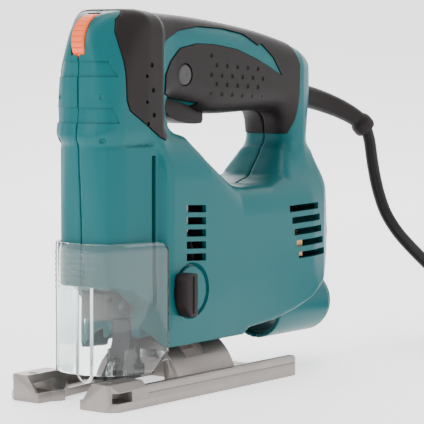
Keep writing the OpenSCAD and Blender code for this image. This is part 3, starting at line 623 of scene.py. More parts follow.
def painted(piece, slot, body, *nodes, angle=35):
    """Smooths the piece, gives it a finish, sets what it rides on and which CAD nodes it stands for."""
    piece.data.materials.clear()
    piece.data.materials.append(PAINT[slot])
    soften(piece, angle)
    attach(piece, body)
    if nodes:
        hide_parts(*nodes)
    return piece


print("finishes:", len(PAINT))

# %% [markdown]
# ## The housing as a field
# A moulded shell has soft corners that run into each other, which is hard to get by cutting blocks. So the
# shape is written as a distance field: side and top outlines are joined with rounded corners, the wall is the
# space between the field and the same field moved in by 2.5 mm, and one voxel pass turns that into a mesh.


# %% Field of the housing
GRID = 0.95
LOW, HIGH = np.array([-184.0, -3.0, 12.0]), np.array([30.0, 35.0, 202.0])
gx, gy, gz = (np.arange(LOW[k], HIGH[k], GRID) for k in range(3))
WALL = 2.5


def flat_distance(outline, a, b):
    """Signed distance from each point of a flat grid to a closed outline, negative inside."""
    p = np.array(outline, float)
    q = np.roll(p, -1, axis=0)
    best = np.full(np.broadcast(a, b).shape, 1e9)
    inside = np.zeros(best.shape, bool)
    for (px, py), (qx, qy) in zip(p, q):
        ex, ey = qx - px, qy - py
        t = np.clip(((a - px) * ex + (b - py) * ey) / (ex * ex + ey * ey + 1e-12), 0, 1)
        best = np.minimum(best, np.hypot(a - px - t * ex, b - py - t * ey))
        if abs(ey) > 1e-12:
            inside ^= ((py > b) != (qy > b)) & (a < ex * (b - py) / ey + px)
    return np.where(inside, -best, best)


def side_field(outline, steps=3):
    line = smooth_line(outline, steps=steps) if steps > 1 else outline
    return flat_distance(line, gx[:, None], gz[None, :])[:, None, :]


def plan_field(outline):
    return flat_distance(outline, gx[:, None], np.abs(gy)[None, :])[:, :, None]


def both(a, b, k):
    """The part in both fields, with its edge rounded over about k mm."""
    h = np.clip(0.5 + 0.5 * (a - b) / k, 0, 1)
    return b + (a - b) * h + k * h * (1 - h)


def either(a, b, k):
    return -both(-a, -b, k)


def as_mesh(name, field):
    """The surface where the field is zero, as quads in metres."""
    grid = openvdb.FloatGrid(background=3.0)
    grid.copyFromArray(np.clip(np.pad(field, 1, constant_values=3.0), -3, 3).astype(np.float32))
    points, quads = grid.convertToQuads(isovalue=0.0)
    return new_object(name, ((points - 1) * GRID + LOW) * MM, quads)


BODY_SIDE = [(-11, 25), (-80, 25), (-86, 29), (-110, 31), (-128, 34.5), (-146, 40), (-160, 47), (-169, 56),
             (-172, 66), (-173, 75), (-171, 88), (-165, 105), (-161, 122), (-134, 122), (-126, 109),
             (-110, 104.5),
             (-84, 104.5), (-70, 108), (-50, 120), (-40, 133), (-11, 133)]
HANDLE_SIDE = [(-161, 110), (-163, 128), (-166.5, 150), (-167, 166), (-161, 176.5), (-123.5, 186),
               (-88.5, 191.2),
               (-52.5, 194.6), (-15.5, 196.5), (-3.5, 197.3), (8, 195.5), (17, 191), (22, 185), (24, 176),
               (24.5, 148), (23.5, 127), (-37.5, 127), (-36, 135), (-33.5, 151), (-57, 148.4), (-74, 144),
               (-122, 145), (-134, 142), (-137, 132), (-134, 119), (-126, 109)]
COLUMN_SIDE = [(21.3, 129), (19.4, 96), (18.4, 58), (4, 57), (-8, 48), (-12, 48), (-12, 129)]
BODY_PLAN = [(-10.8, -60), (-10.8, 24.5), (-14, 28.8), (-19, 30), (-143, 30), (-158, 27), (-170, 20.5),
             (-179, 20),
             (-179, -60)]
HEAD_PLAN = [(25, -60), (24.6, 6), (22.4, 12), (18.6, 17.4), (10, 21.4), (-6, 23.4), (-17, 23.4), (-24, 18.6),
             (-34, 18), (-150, 18), (-161, 15), (-168, 9), (-168, -60)]
COLUMN_PLAN = [(22, -60), (21.6, 5), (19.8, 10), (17, 15.4), (8, 20.5), (-7.8, 23.8), (-13, 23.8), (-13, -60)]
NOSE_ANGLE = math.radians(52.6)
NOSE_LEAN = [(27.5, 128), (23.3, 165), (17.5, 186), (13, 198)]

yy, zz, xx = np.abs(gy)[None, :, None], gz[None, None, :], gx[:, None, None]
crease = np.interp(gx, [-144.6, -115.7, -74.5, -52.6, -11], [59.9, 56.7, 54.8, 47.3, 46.0])[:, None, None]
body = both(side_field(BODY_SIDE, 1), plan_field(BODY_PLAN), 4)
body = both(body, yy - 30 + 0.16 * np.maximum(crease - zz, 0) + 0.08 * np.minimum(zz - crease, 0), 0.6)
taper_from = np.interp(gx, [-78, -50], [97, 119])[:, None, None]
body = both(body, 0.86 * (yy - 30 + 0.62 * (zz - taper_from)), 5)
handle = both(side_field(HANDLE_SIDE, 4), plan_field(HEAD_PLAN), 13)
lean = np.interp(gz, [z for _, z in NOSE_LEAN], [x for x, _ in NOSE_LEAN])[None, None, :]
handle = both(handle, xx * math.cos(NOSE_ANGLE) + yy * math.sin(NOSE_ANGLE) - lean, 3)
column = both(side_field(COLUMN_SIDE, 1), plan_field(COLUMN_PLAN), 1.5)
port = both(np.hypot(yy, zz - 34) - 17.6, np.maximum(-178.4 - xx, xx + 120), 2)
outer = either(either(body, handle, 7), column, 1.2)
outer = either(outer, port, 4)
print("field of", outer.size, "points")

# %% [markdown]
# ## Inside the halves
# Ribs carry the bearings and the stator, bosses take the screws, and a block over the saddle holds the base
# nut. An arch under the body leaves the tilting base its room. These are simple boxes and cylinders in the
# same field.


# %% Ribs and wall
def box_field(x0, x1, y0, y1, z0, z1):
    return np.maximum(np.maximum(np.maximum(x0 - xx, xx - x1), np.maximum(y0 - yy, yy - y1)),
                      np.maximum(z0 - zz, zz - z1))


def bore_y(x, z, radius):
    return np.hypot(xx - x, zz - z) - radius


SCREWS = [(-12, 187), (-150, 166), (-155, 110), (-26, 146), (-90, 100.8), (-62, 39), (-120, 42)]
SEAT = 10.5
inside = outer + WALL
ribs = box_field(-164, -157, -5, 40, 54, 86)
for x0 in (-97, -77):
    ribs = np.minimum(ribs, box_field(x0, x0 + 4, -5, 40, 44, 97))
ribs = np.maximum(np.maximum(ribs, 11 - np.hypot(yy, zz - 70)),
                  np.where(xx > -120, 25.2 - np.hypot(yy, zz - 70), -9))
ribs = np.minimum(ribs, np.maximum(box_field(-66, -36, -5, 11.6, 25, 44), 30.35 - np.hypot(yy, zz)))
lugs = box_field(-24, -11.5, 6.4, 12, 31, 41)
ribs = np.minimum(ribs, lugs)
hidden = np.maximum(-inside, -9 - 0 * xx)          # the wall alone
clear = np.minimum(box_field(-36.5, -26, -5, 15.2, 56, 140.5), box_field(-26, 12, -5, 13, 56, 140.5))
arch = np.maximum(np.hypot(yy, zz) - 37.6, np.maximum(-129 - xx, xx + 10))
arch = np.maximum(np.maximum(arch, -box_field(-66, -36, -5, 11.6, -5, 60)), -lugs)
saddle_room = np.maximum(np.hypot(yy, zz) - 30.35, np.maximum(-67 - xx, xx + 35))
bracket_room = box_field(-14, -9, -5, 6.4, 29, 41)


def half_field():
    bosses = np.full_like(outer, 9.0)
    for x, z in SCREWS:
        bosses = np.minimum(bosses, bore_y(x, z, 5))
    solid = np.minimum(np.maximum(outer, hidden), np.maximum(np.minimum(ribs, bosses), outer + 1))
    for room in (arch, saddle_room, bracket_room):
        solid = np.maximum(solid, -room)
    solid = np.maximum(solid, -np.maximum(clear, outer + 1.6))
    return np.maximum(solid, 0.06 - gy[None, :, None])


half_left = as_mesh("housing_shell_left", half_field())
half_right = as_mesh("right_before_mirror", half_field())
print("quads in a half:", len(half_left.data.polygons))

# %% [markdown]
# ## Rubber grips
# The grips are moulded over the shell, standing half a millimetre proud of it with a fine gap round the edge.
# A thin layer of the same field, cut to the grip's outline, gives the rubber. The same layer cut a little
# larger is taken out of the shell so that the rubber sits in a pocket.


# %% Rubber layer
GRIP_SIDE = [(-3, 206), (-1, 199), (7.5, 192), (9.6, 186), (9, 169.6), (8.6, 151.8), (6.6, 147),
             (-14, 133.6), (-19, 131.6),
             (-21.5, 133.6), (-21.3, 141), (-18.4, 162), (-19.4, 177.2), (-27.3, 183.3), (-37.2, 187.5),
             (-54.8, 189.8),
             (-76.5, 189), (-94.3, 186.3), (-106.2, 180.2), (-109.4, 181.2), (-120.2, 173.5), (-128.4, 163.7),
             (-117, 168), (-105.3, 172.3), (-87.2, 177.5), (-67.8, 180), (-52.3, 180.4), (-38.1, 178),
             (-29.8, 171.1),
             (-25.7, 164.5), (-25.2, 154.8), (-40, 152.3), (-58.5, 149.9), (-60.5, 144), (-62, 140),
             (-118, 138),
             (-128, 131.5), (-139, 131.5), (-142.4, 139.3), (-145.1, 152.7), (-145.6, 169.4), (-142, 177),
             (-137, 190),
             (-136, 206)]


def grown(outline, distance):
    """An outline moved out by a distance, corner by corner."""
    p = np.array(outline, float)
    before, after = p - np.roll(p, 1, axis=0), np.roll(p, -1, axis=0) - p
    normals = [np.array([d[1], -d[0]]) / np.hypot(*d) for d in before + 1e-9]
    others = [np.array([d[1], -d[0]]) / np.hypot(*d) for d in after + 1e-9]
    area = sum(a[0] * b[1] - b[0] * a[1] for a, b in zip(p, np.roll(p, -1, axis=0)))
    way = 1 if area > 0 else -1
    return [tuple(q + way * distance * (m + n) / max(1 + m.dot(n), 0.5)) for q, m, n in zip(p, normals, others)]


def layer(name, inner, out, outline, y_low=0.1):
    thin = np.maximum(np.maximum(outer - out, inner - outer), y_low - gy[None, :, None])
    thin = np.maximum(thin, 120 - zz)
    return combine(as_mesh(name, thin), prism("outline", outline, "y", -10, 60), "INTERSECT")


def front_band(z0, z1):
    """A shallow step across the nose of the head, between two heights."""
    thin = np.maximum(outer - 3, -0.7 - outer)
    area = prism("band_area", [(12.5, z0), (40, z0), (40, z1), (15, z1)], "y", -10, 60)
    return combine(as_mesh("band", thin), area, "INTERSECT")


bands = [front_band(163.7, 171.5), front_band(140.5, 148.5)]
grip_left = layer("grip_left_rubber", -1.2, 0.55, GRIP_SIDE)
pocket = layer("pocket", -1.25, 2.8, grown(GRIP_SIDE, 0.45), -2)
print("rubber quads:", len(grip_left.data.polygons))

# %% [markdown]
# ## Openings in the shell
# Cooling slots, the recess of the orbital switch, the trigger's slot, the dial's slot and the hose port are cut
# with closed tools. The slots come in rows, so one slot and a row tree make each group.


# %% Cutting the halves
def slot_tool(name, x0, x1, z0, height, lean):
    return prism(name, [(x0, z0), (x1, z0 + lean), (x1, z0 + height + lean), (x0, z0 + height)], "y", 22, 40)


def shell_tools():
    front = repeated("front_vents", slot_tool("slot", -45, -28.9, 68.6, 3.8, 0.9), "row", Count=5,
                     Step=(0, 0, 6.25 * MM))
    rear = repeated("rear_vents", slot_tool("slot", -158, -129.2, 63.6, 3.6, -0.6), "row", Count=5,
                    Step=(2.2 * MM, 0, 6.5 * MM))
    gap = prism("column_gap", [(-10.9, 15), (-8.1, 15), (-8.1, 40), (-10.9, 40)], "z", 36, 124)
    trigger_slot = prism("trigger_slot", [(-71.5, 130), (-37.6, 130), (-37.6, 158), (-71.5, 158)], "y", -9, 7.9)
    dial_slot = rod("dial_slot", "y", (8, 181), 14.6, -9, 4.4, 64)
    outlet = rod("cord_outlet", "x", (0, 152.8), 6.8, -180, -148, 32)
    bore = rod("port_bore", "x", (0, 34), 15.8, -190, -131, 64)
    bolt = rod("bolt_hole", "z", (-50, 0), 3.05, 20, 41, 32)
    nut = block("nut_pocket", (-55.5, -9, 36), (-44.5, 5.5, 41))
    pins = merged("small", rod("wire_seat", "y", (16, 60), 0.95, 5, 13, 16))
    return merged("tools", front, rear, gap), [trigger_slot, dial_slot, outlet, bore, bolt, nut, pins]


def head_tools():
    """Three dimples down the front edge of the head."""
    spots = [(19.6, 14.6, 176.5), (20, 14.4, 153.5), (19.4, 14.6, 131.5)]
    balls = repeated("dimples", ball("dimple", (0, 0, 0), 2.0), "points", spots)
    return balls


def carve(piece):
    side, rest = shell_tools()
    combine(piece, side, "DIFFERENCE")
    return cut(piece, *rest, head_tools())


for half in (half_left, half_right):
    carve(half)
    for tool in (pocket, *bands):
        combine(half, tool, "DIFFERENCE", keep=True)
drop(pocket, *bands)
for x, z in SCREWS:
    cut(half_right, rod("screw_mouth", "y", (x, z), 3.7, SEAT, 40, 24))
    cut(half_right, rod("screw_way", "y", (x, z), 2.0, -5, SEAT + 1, 16))
    cut(half_left, rod("screw_way", "y", (x, z), 1.7, -5, SEAT + 1, 16))
cut(half_left, rod("lock_hole", "y", (-42, 164.5), 5.9, 5, 40, 40),
    rod("lever_hole", "y", (-33, 54), 4.1, 10, 40, 32),
    lathe("lever_recess", [(0, 27.6), (13.4, 27.6), (14.6, 29.2), (14.9, 34), (0, 34)], "y", (-33, 0, 54), 64))
cut(grip_left, rod("lock_mouth", "y", (-42, 164.5), 6.0, 5, 40, 48))
print("quads after cutting:", len(half_left.data.polygons), len(half_right.data.polygons))

# %% [markdown]
# ## Grip dimples
# Small round pits keep a sweaty hand from slipping. They lie in a staggered grid on the side of the handle
# and in a loose column on the front grip, so a list of points is enough for the points tree.

# %% Dimples in the rubber
GRIP_DIMPLES = [(-64 - 9.2 * i - 4.6 * (j % 2), 18.9,
                 174.5 - 5 * j - 0.5 * i) for j in range(5) for i in range(6)]
GRIP_DIMPLES = [p for p in GRIP_DIMPLES if p[0] > -112 and p[2] < 176 - 0.17 * abs(p[0] + 60)]
FRONT_DIMPLES = [(-3.0, 22.2, 176), (1.6, 20.4, 171), (-8, 23.6, 169.5), (-4.5, 22.8, 164),
                 (0.2, 21, 158.5), (-9, 23.6, 157),
                 (-4.6, 22.8, 151), (0, 21.2, 146.5), (-9.6, 23.6, 144.5), (-5.4, 23, 140.2)]
pits = repeated("pits", ball("pit", (0, 0, 0), 1.35, 8, 12), "points", GRIP_DIMPLES + FRONT_DIMPLES)
combine(grip_left, pits, "DIFFERENCE")
grip_right = mirrored("grip_right_rubber", grip_left)
half_right_shell = mirrored("housing_shell_right", half_right)
drop(half_right)
painted(half_left, "housing", "housing", "housing_left", angle=38)
painted(half_right_shell, "housing", "housing", "housing_right", angle=38)
painted(grip_left, "rubber", "housing", "grip_left", angle=38)
painted(grip_right, "rubber", "housing", "grip_right", angle=38)
print("pits in each grip:", len(GRIP_DIMPLES) + len(FRONT_DIMPLES))

# %% [markdown]
# ## The cast base
# The sole is one aluminium casting: a flat plate with a rail down each side, two prongs round the blade at the
# front, and a half-round saddle that the body sits on and tilts about. Blocks and cylinders are joined and cut,
# and one bevel rounds every edge the way a casting's draft and fettling do.


# %% Base
def base_blocks():
    plate = block("base_shell", (-118, -35.5, 0), (32, 35.5, 4))
    rail = [(35.5, 0.8), (35.5, 9.8), (34.7, 11), (31.2, 11), (30.4, 9.8), (29, 7.4), (29, 0.8)]
    for side in (1, -1):
        combine(plate, prism("rail", [(side * y, z) for y, z in rail], "x", -118, 11), "UNION")
        lip = [(side * y, z) for y, z in [(8, 0), (35.5, 0), (35.5, 10), (32, 13.5), (21.5, 13.5),
                                          (15.5, 5), (8, 5)]]
        prong = prism("prong", lip, "x", 10, 36)
        plan = [(9, 8), (9, 36.5), (31, 36.5), (36, 30.5), (36, 8)]
        combine(prong, prism("plan", [(x, side * y) for x, y in plan], "z", -1, 20), "INTERSECT")
        combine(plate, prong, "UNION")
    saddle = rod("saddle", "x", (0, 0), 30, -72, -24, 96)
    combine(saddle, block("above", (-80, -40, 0), (-20, 40, 40)), "INTERSECT")
    combine(plate, saddle, "UNION")
    cut(plate, rod("saddle_inside", "x", (0, 0), 26, -69, -27, 96),
        block("saddle_front", (-28, -19, -1), (-23, 19, 24)))
    slot = [(38, -14), (27, -13), (23, -10), (20, -10), (18, -13.5), (11, -17), (-6, -19), (-23, -19),
            (-23, 19),
            (-6, 19), (11, 17), (18, 13.5), (20, 10), (23, 10), (27, 13), (38, 14)]
    return cut(plate, prism("blade_slot", slot, "z", -1, 29))


def base_details(piece):
    turn = math.radians(45)

    def tilted(y, z):
        return y * math.cos(turn) + z * math.sin(turn), -y * math.sin(turn) + z * math.cos(turn)

    window = [(-3.4, 12), (-3.4, 50), (30, 50), tilted(3.4, 50), tilted(3.4, 12)]
    cut(piece, prism("bolt_window", window, "x", -53.4, -36.6))
    for side in (1, -1):
        y0, y1 = sorted((side * 15.5, side * 50))
        cut(piece, block("fence_slot", (21.5, y0, 4.4), (34, y1, 9.6)),
            rod("fence_hole", "z", (27.75, side * 25), 2.1, 5.4, 30, 24))
        # a long groove inside the rail's foot, and a shallow step on the rail's outer face
        y0, y1 = sorted((side * 35.1, side * 40))
        cut(piece, block("rail_line", (-117, y0, 6.9), (9, y1, 7.5)))
        y0, y1 = sorted((side * 26.2, side * 28.2))
        cut(piece, block("foot_line", (-112, y0, 3.5), (8, y1, 9)))
    ribs = repeated("sole_ribs", block("rib", (-112, -20, 3.4), (-110.6, 20, 9)), "row", Count=5,
                    Step=(7 * MM, 0, 0))
    cut(piece, ribs)
    scale = repeated("angle_marks", block("mark", (-70.5, -0.25, 29.55), (-66, 0.25, 31)), "row", Count=1,
                     Step=(0, 0, 0))
    return cut(piece, scale)


base = base_details(base_blocks())
bevelled(base, 0.35, 2, 30)
painted(base, "cast", "base", "base_plate", angle=30)
print("base faces:", len(base.data.polygons))

# %% [markdown]
# ## Clear dust cover
# A thin polycarbonate shell slides up and down on the column. Its wall follows a plan that is narrow at the
# front and wide at the back, and moulded ribs on the nose give the finger something to lift it by.


# %% Dust cover
COVER_PLAN = [(23, 0), (23, 5.5), (21.7, 11.8), (18.7, 17.5), (9.5, 23.1), (-13.2, 31)]
COVER_INSIDE = [(-13.2, 29.1), (8.8, 21.4), (17.3, 16.2), (20, 11.3), (21.4, 5.2), (21.4, 0)]


def cover_shell():
    sharp = [(x, -y) for x, y in COVER_PLAN[::-1]] + COVER_PLAN[1:]
    sharp += COVER_INSIDE + [(x, -y) for x, y in COVER_INSIDE[-2::-1]]
    shell = prism("cover", sharp, "z", 14.5, 80.5)
    corner = arc((-7.5, 74.5), 6, 90, 170, 10)
    side = [(26, 13.5), (-3, 13.5), (-14, 26)] + [(-14, 74)] + corner[::-1] + [(26, 80.5)]
    combine(shell, prism("cover_side", side, "y", -50, 50), "INTERSECT")
    return shell


def cover_ribs():
    """Seven bars across the nose, a bead along the top, a guide strip and rungs low at the back of each side."""
    bars = repeated("nose_bars", block("bar", (22.9, -5.6, 57), (23.7, 5.6, 57.9)), "row", Count=7,
                    Step=(0, 0, 2.9 * MM))
    parts = [bars]
    for side in (1, -1):
        wall = [(x, side * y) for x, y in [(22.6, 5.6), (21.4, 11.6), (18.4, 17.2), (18.9, 17.8),
                                           (22.1, 12), (23.3, 5.7)]]
        bar = prism("corner_bar", wall, "z", 57, 57.9)
        parts.append(repeated("corner_bars", bar, "row", Count=7, Step=(0, 0, 2.9 * MM)))
        bead = [(x, side * y) for x, y in [(18.4, 17.2), (9.3, 22.8), (-12.8, 30.5), (-12.6, 31.1),
                                           (9.6, 23.6), (18.9, 17.8)]]
        parts.append(prism("top_bead", bead, "z", 75.6, 76.2))
        parts.append(prism("low_bead", bead, "z", 20.4, 21))
        guide = [(x, side * y) for x, y in [(-8.6, 28.1), (-6.2, 26.8), (-6.0, 27.3), (-8.4, 28.7)]]
        parts.append(prism("guide", guide, "z", 23, 52))
        rung = [(x, side * y) for x, y in [(-12.9, 30.5), (-9.4, 28.6), (-9.1, 29.1), (-12.6, 31.1)]]
        parts.append(repeated("rungs", prism("rung", rung, "z", 25.5, 26.3), "row", Count=5,
                              Step=(0, 0, 2.4 * MM)))
    return parts


cover = bevelled(cover_shell(), 0.45, 3, 25)
for part in cover_ribs():
    combine(cover, part, "UNION")
painted(cover, "clear", "cover", "dust_cover", angle=25)
print("cover faces:", len(cover.data.polygons))

# %% [markdown]
# ## Finger guard, blade clamp and roller
# A bent wire keeps fingers off the blade, and its ends hook outwards into the column. The clamp that takes the
# shank is a dark sintered block with a set screw. The roller behind it carries the back of the blade.

# %% Guard
WIRE = ([(16, 10.9, 60), (16, 8.6, 60)] + [(16, 7.6 - 3 * math.sin(a),
                                            57 + 3 * math.cos(a)) for a in np.radians([10, 30, 50, 70, 90])]
        + [(16, 4.6, z) for z in (50, 38, 26, 16)]
        + [(16, 4.6 * math.cos(a), 14.6 - 4.6 * math.sin(a)) for a in np.radians(np.arange(0, 91, 15))])
WIRE = WIRE + [(x, -y, z) for x, y, z in WIRE[-2::-1]]
guard = tube("finger_guard", WIRE, 0.9, 16)
painted(guard, "wire", "housing", "wire_guard", angle=50)

# %% Blade clamp


def clamp_block():
    piece = block("clamp", (-10, -8, 41), (10, 8, 55))
    bevelled(piece, 1.6, 3)
    cut(piece, rod("rod_socket", "z", (0, 0), 4.02, 50, 57, 48),
        block("blade_slot", (-4.5, -0.8, 40), (4.5, 0.8, 48.5)),
        rod("screw_hole", "y", (-3, 47), 3.0, 0.9, 9, 40), rod("small_hole", "y", (6, 51), 1.2, 0.5, 9, 24))
    return piece


painted(clamp_block(), "dark_steel", "plunger", "blade_clamp", angle=35)
screw = lathe("clamp_set_screw", [(0, 1.2), (2.95, 1.2), (2.95, 6.9), (2.5, 7.4), (0, 7.4)], "y",
              (-3, 0, 47), 40)
cut(screw, rod("socket", "y", (-3, 47), 1.6, 5, 9, 6))
painted(screw, "steel", "plunger", "clamp_screw", angle=30)

# %% Roller bracket


def bracket_body():
    side = [(-21.5, 8), (0.5, 8), (0.9, 10.5), (-3.5, 14), (-9, 21), (-11, 27), (-12, 33), (-12, 39),
            (-20, 39), (-19, 20), (-21.5, 14)]
    piece = bevelled(prism("bracket", side, "y", -6, 6), 0.5, 2, 25)
    cut(piece, rod("pivot_hole", "y", (-16, 35), 2.06, -9, 9, 32),
        rod("pin_hole", "y", (-8, 14.5), 1.5, -9, 9, 24),
        rod("roller_room", "y", (-8, 14.5), 6.5, -2.3, 2.3, 48),
        block("blade_way", (-6, -1.2, 5), (2, 1.2, 20)))
    left = repeated("folds_left", block("fold", (-19, 5.6, 16.6), (-6.5, 7, 17.2)), "row", Count=6,
                    Step=(0.2 * MM, 0, 2.4 * MM))
    right = repeated("folds_right", block("fold", (-19, -7, 16.6), (-6.5, -5.6, 17.2)), "row", Count=6,
                     Step=(0.2 * MM, 0, 2.4 * MM))
    return cut(piece, left, right)


painted(bracket_body(), "black_plastic", "bracket", "roller_bracket", angle=30)
print("guard, clamp and bracket made")

# %% [markdown]
# ## Controls
# Each control is its own moulding: the trigger with a finger curve, the lock-on button in its oval rim, the
# speed dial with notches round its edge, and the orbital switch with a bar for the thumb.


# %% Trigger and lock button
def trigger_body():
    under = [(-71, 152), (-71, 140.5)] + arc((-69, 140.5), 2, 180, 262, 6)
    under += [(-64, 138.3), (-58, 138.8), (-50, 140.2), (-43, 142.6), (-39.5, 145), (-38, 147), (-38, 152)]
    piece = bevelled(prism("trigger", under, "y", -7.5, 7.5), 1.3, 4, 30)
    return combine(piece, block("stem", (-64, -4, 150), (-56, 4, 164)), "UNION")


painted(trigger_body(), "rubber", "trigger", "trigger", angle=35)

button = lathe("lock_on_button", [(0, 7), (2.5, 7), (2.5, 12), (5.5, 12), (5.5, 17.6), (5.0, 18.3),
                                  (3.8, 18.5), (2, 18.3), (0, 18.1)],
               "y", (-42, 0, 164.5), 48)
painted(button, "black_plastic", "lock_button", "lock_button", angle=30)


def dial_wheel():
    wheel = lathe("dial", [(0, -7.6), (2, -7.6), (2, -4), (13.4, -4), (14, -3.4), (14, 3.4), (13.4, 4),
                           (9, 4), (8.6, 3.6),
                           (3, 3.6), (2.4, 4.2), (0, 4.2)], "y", (0, 0, 0), 96)
    notch = prism("notch", [(13.5, 0), (14.5, 0.75), (15, 0), (14.5, -0.75)], "y", -6, 6)
    cut(wheel, repeated("notches", notch, "ring", Count=30, Turn=2 * math.pi / 30))
    wheel.data.transform(Matrix.Translation((0.008, 0, 0.181)))
    return wheel


painted(dial_wheel(), "dial", "dial", "speed_dial", angle=30)


def lever_disc():
    return lathe("lever_disc", [(0, 17.5), (4, 17.5), (4, 28), (12, 28), (12.5, 28.4), (12.5, 29.4),
                                (12, 29.8), (0, 29.8)],
                 "y", (-33, 0, 54), 72)


def lever_bar():
    bar = prism("lever_bar", [(-28.5, 41.6), (-22.5, 41.6), (-19, 46.8), (-18.6, 61.2), (-20.2, 63.8),
                              (-28.5, 63.8)], "y", 29.5, 38)
    bevelled(bar, 1.1, 3, 30)
    ridge = bevelled(block("ridge", (-25.4, 36, 43.5), (-24.2, 38.6, 62.5)), 0.3, 2)
    return combine(bar, ridge, "UNION")


painted(lever_disc(), "housing", "lever", "orbital_lever", angle=30)
painted(lever_bar(), "rubber", "lever", angle=30)


def position_marks():
    """Short raised strokes round the recess, one for each of the four settings."""
    marks = []
    for angle in (-12, 22, 56, 90):
        a = math.radians(180 - angle)
        c, s = math.cos(a), math.sin(a)
        inner, outer_r, half = 12.9, 13.9, 0.35
        marks.append(prism("mark", [(-33 + c * r - s * h, 54 + s * r + c * h) for r, h in
                                    ((inner, -half), (outer_r, -half), (outer_r, half), (inner, half))],
                                    "y", 27.4, 27.9))
    return merged("orbital_marks", *marks)


painted(position_marks(), "black_plastic", "housing", angle=30)
print("controls made")

# %% [markdown]
# ## Hose port
# The rear port takes a vacuum hose. A short sleeve sits in the housing with a rolled lip at its mouth.

# %% Hose port
sleeve = lathe("port_sleeve", [(14, -181), (15.2, -181), (16.2, -180.4), (16.2, -178.2), (15.8, -177.6),
                               (15.8, -132), (14, -132)],
               "x", (0, 0, 34), 72)
painted(sleeve, "housing", "housing", "dust_nozzle", angle=30)
print("port made")

# %% [markdown]
# ## Cord, strain relief, tie and plug
# The cord is one round tube along the route worked out above. Round it go the tapered strain relief with a
# thick collar at its end, the strap that holds the coil and the two-pin plug at the far end.


# %% Cord
def strain_relief():
    line = dense(RELIEF_MM, 0.8)
    n = len(line)
    share = [0, 0.16, 0.5, 0.86, 0.88, 0.91, 0.97, 1]
    radii = np.interp(np.linspace(0, 1, n), share, [6.6, 6.6, 6.0, 5.0, 5.9, 6.5, 6.5, 5.6])
    return tube("relief", line, radii, 32)


painted(strain_relief(), "rubber", "housing", "strain_relief", angle=50)

flex = tube("mains_cord", cord_line, CORD_D / 2, 14)
painted(flex, "cord", "housing", "cord", "cord_coil", "cord_tail", angle=60)


def tie_strap():
    """A flat strap round the near side of the coil, with its small buckle on top."""
    centre_x, centre_y, half = COIL_AT[0], COIL_AT[1] - COIL_R, 10.5
    ring_out = [(centre_y - half - 1.7, 0.3), (centre_y + half + 1.7, 0.3), (centre_y + half + 1.7, 23.6),
                (centre_y - half - 1.7, 23.6)]
    ring_in = [(centre_y - half - 0.7, 0.95), (centre_y + half + 0.7, 0.95), (centre_y + half + 0.7, 22.6),
               (centre_y - half - 0.7, 22.6)]
    strap = bevelled(prism("tie", ring_out, "x", centre_x - 5, centre_x + 5), 0.8, 3)
    cut(strap, prism("tie_inside", ring_in, "x", centre_x - 8, centre_x + 8))
    buckle = bevelled(block("buckle", (centre_x - 3, centre_y - 4, 23.2),
                            (centre_x + 3, centre_y + 4, 25.2)), 0.6, 2)
    return combine(strap, buckle, "UNION")


painted(tie_strap(), "black_plastic", "housing", "cord_tie", angle=30)


def plug():
    """The body swells from the cord to a flat face that carries the pins, with grip ridges on its sides."""
    shape = [(0, 4.6), (3, 5.2), (10, 6.4), (15, 10.5), (20, 16), (24, 17.4), (36.6, 17.4), (37.6, 16.8),
             (38, 16)]
    at_x, at_y, at_z = -317, 73, 30.7
    wide = [(at_x + w, at_y - d) for d, w in shape] + [(at_x - w, at_y - d) for d, w in shape[::-1]]
    deep = [(0, 4.4), (10, 5.6), (18, 8.2), (37, 8.2), (38, 7.6)]
    thick = [(at_y - d, at_z + t) for d, t in deep] + [(at_y - d, at_z - t) for d, t in deep[::-1]]
    piece = prism("plug", wide, "z", 15, 45)
    combine(piece, prism("thick", thick, "x", -370, -300), "INTERSECT")
    bevelled(piece, 1.3, 3, 30)
    for side in (-1, 1):
        x0, x1 = sorted((at_x + side * 16.8, at_x + side * 18.5))
        groove = block("groove", (x0, at_y - 32, 15), (x1, at_y - 31, 45))
        cut(piece, repeated("plug_grooves", groove, "row", Count=5, Step=(0, 2.3 * MM, 0)))
    return piece


plug_piece = painted(plug(), "cord", "housing", "plug_body", angle=35)
print("cord is", round(line_length(cord_line) * MM, 2), "m long")

# %% [markdown]
# ## Finishes on the inner pieces
# The motor, gears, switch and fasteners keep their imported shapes. Each takes the procedural finish that its
# material slot names, so the copper, steel and cast parts read as themselves through the vents and the cover.

# %% Inner pieces
slots = {part["node"]: part["material_slot"] for part in frame["record"]["subparts"]}
for name, node in frame["nodes"].items():
    node.data.materials.clear()
    node.data.materials.append(PAINT[slots[name]])
print("inner pieces finished:", len(slots))

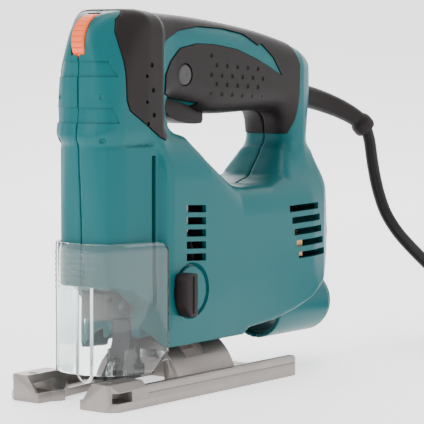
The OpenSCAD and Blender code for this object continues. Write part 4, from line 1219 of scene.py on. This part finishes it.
# %% [markdown]
# ## Floor and light
# A plain pale floor that curves up behind, one large soft key from the front left, a weaker fill from the
# right and a strip above to draw the top edges.


# %% Stage
def sweep_floor():
    profile = [(-6.0, 0.0), (1.4, 0.0)] + [(1.4 + 0.9 * math.sin(a),
                                            0.9 - 0.9 * math.cos(a)) for a in np.radians(np.arange(9, 91, 9))]
    profile += [(2.3, 5.0)]
    away = Vector((-math.cos(YAW), -math.sin(YAW), 0))
    across = Vector((math.sin(YAW), -math.cos(YAW), 0))
    points = [away * d + across * w + Vector((0, 0, z)) for w in (-7, 7) for d, z in profile]
    n = len(profile)
    piece = new_object("studio_floor", points, [(i, i + 1, n + i + 1, n + i) for i in range(n - 1)])
    soften(piece, 60)
    made = finish_of("studio_paper", (0.90, 0.90, 0.90), 0.75, grain=(40, 0.02, 0.0001), wear=0, dust=0,
                     spread=0.01)
    shader = made.node_tree.nodes["Principled BSDF"]
    shader.inputs["Emission Color"].default_value = (1, 1, 1, 1)
    shader.inputs["Emission Strength"].default_value = 1.1
    piece.data.materials.append(made)
    return piece


sweep_floor()


def area_light(name, place, target, size, power, colour=(1, 1, 1)):
    data = bpy.data.lights.new(name, "AREA")
    data.shape, data.size, data.size_y, data.energy, data.color = "RECTANGLE", size[0], size[1], power, colour
    lamp = bpy.data.objects.new(name, data)
    bpy.context.scene.collection.objects.link(lamp)
    lamp.location = place
    lamp.rotation_euler = (Vector(target) - Vector(place)).to_track_quat("-Z", "Y").to_euler()
    return lamp


centre = (-0.05, 0, 0.1)
area_light("key", (1.35, -0.35, 1.0), centre, (1.1, 1.1), 26)
area_light("fill", (-0.5, 1.7, 0.7), centre, (1.4, 1.0), 13)
area_light("top", (-0.1, 0.1, 1.6), centre, (1.6, 0.6), 14)
area_light("back", (-1.3, -0.9, 0.9), centre, (1.0, 1.0), 10)
world = bpy.data.worlds.new("studio")
bpy.context.scene.world = world
world.use_nodes = True
world.node_tree.nodes["Background"].inputs["Color"].default_value = (1, 1, 1, 1)
world.node_tree.nodes["Background"].inputs["Strength"].default_value = 0.55
print("stage ready")
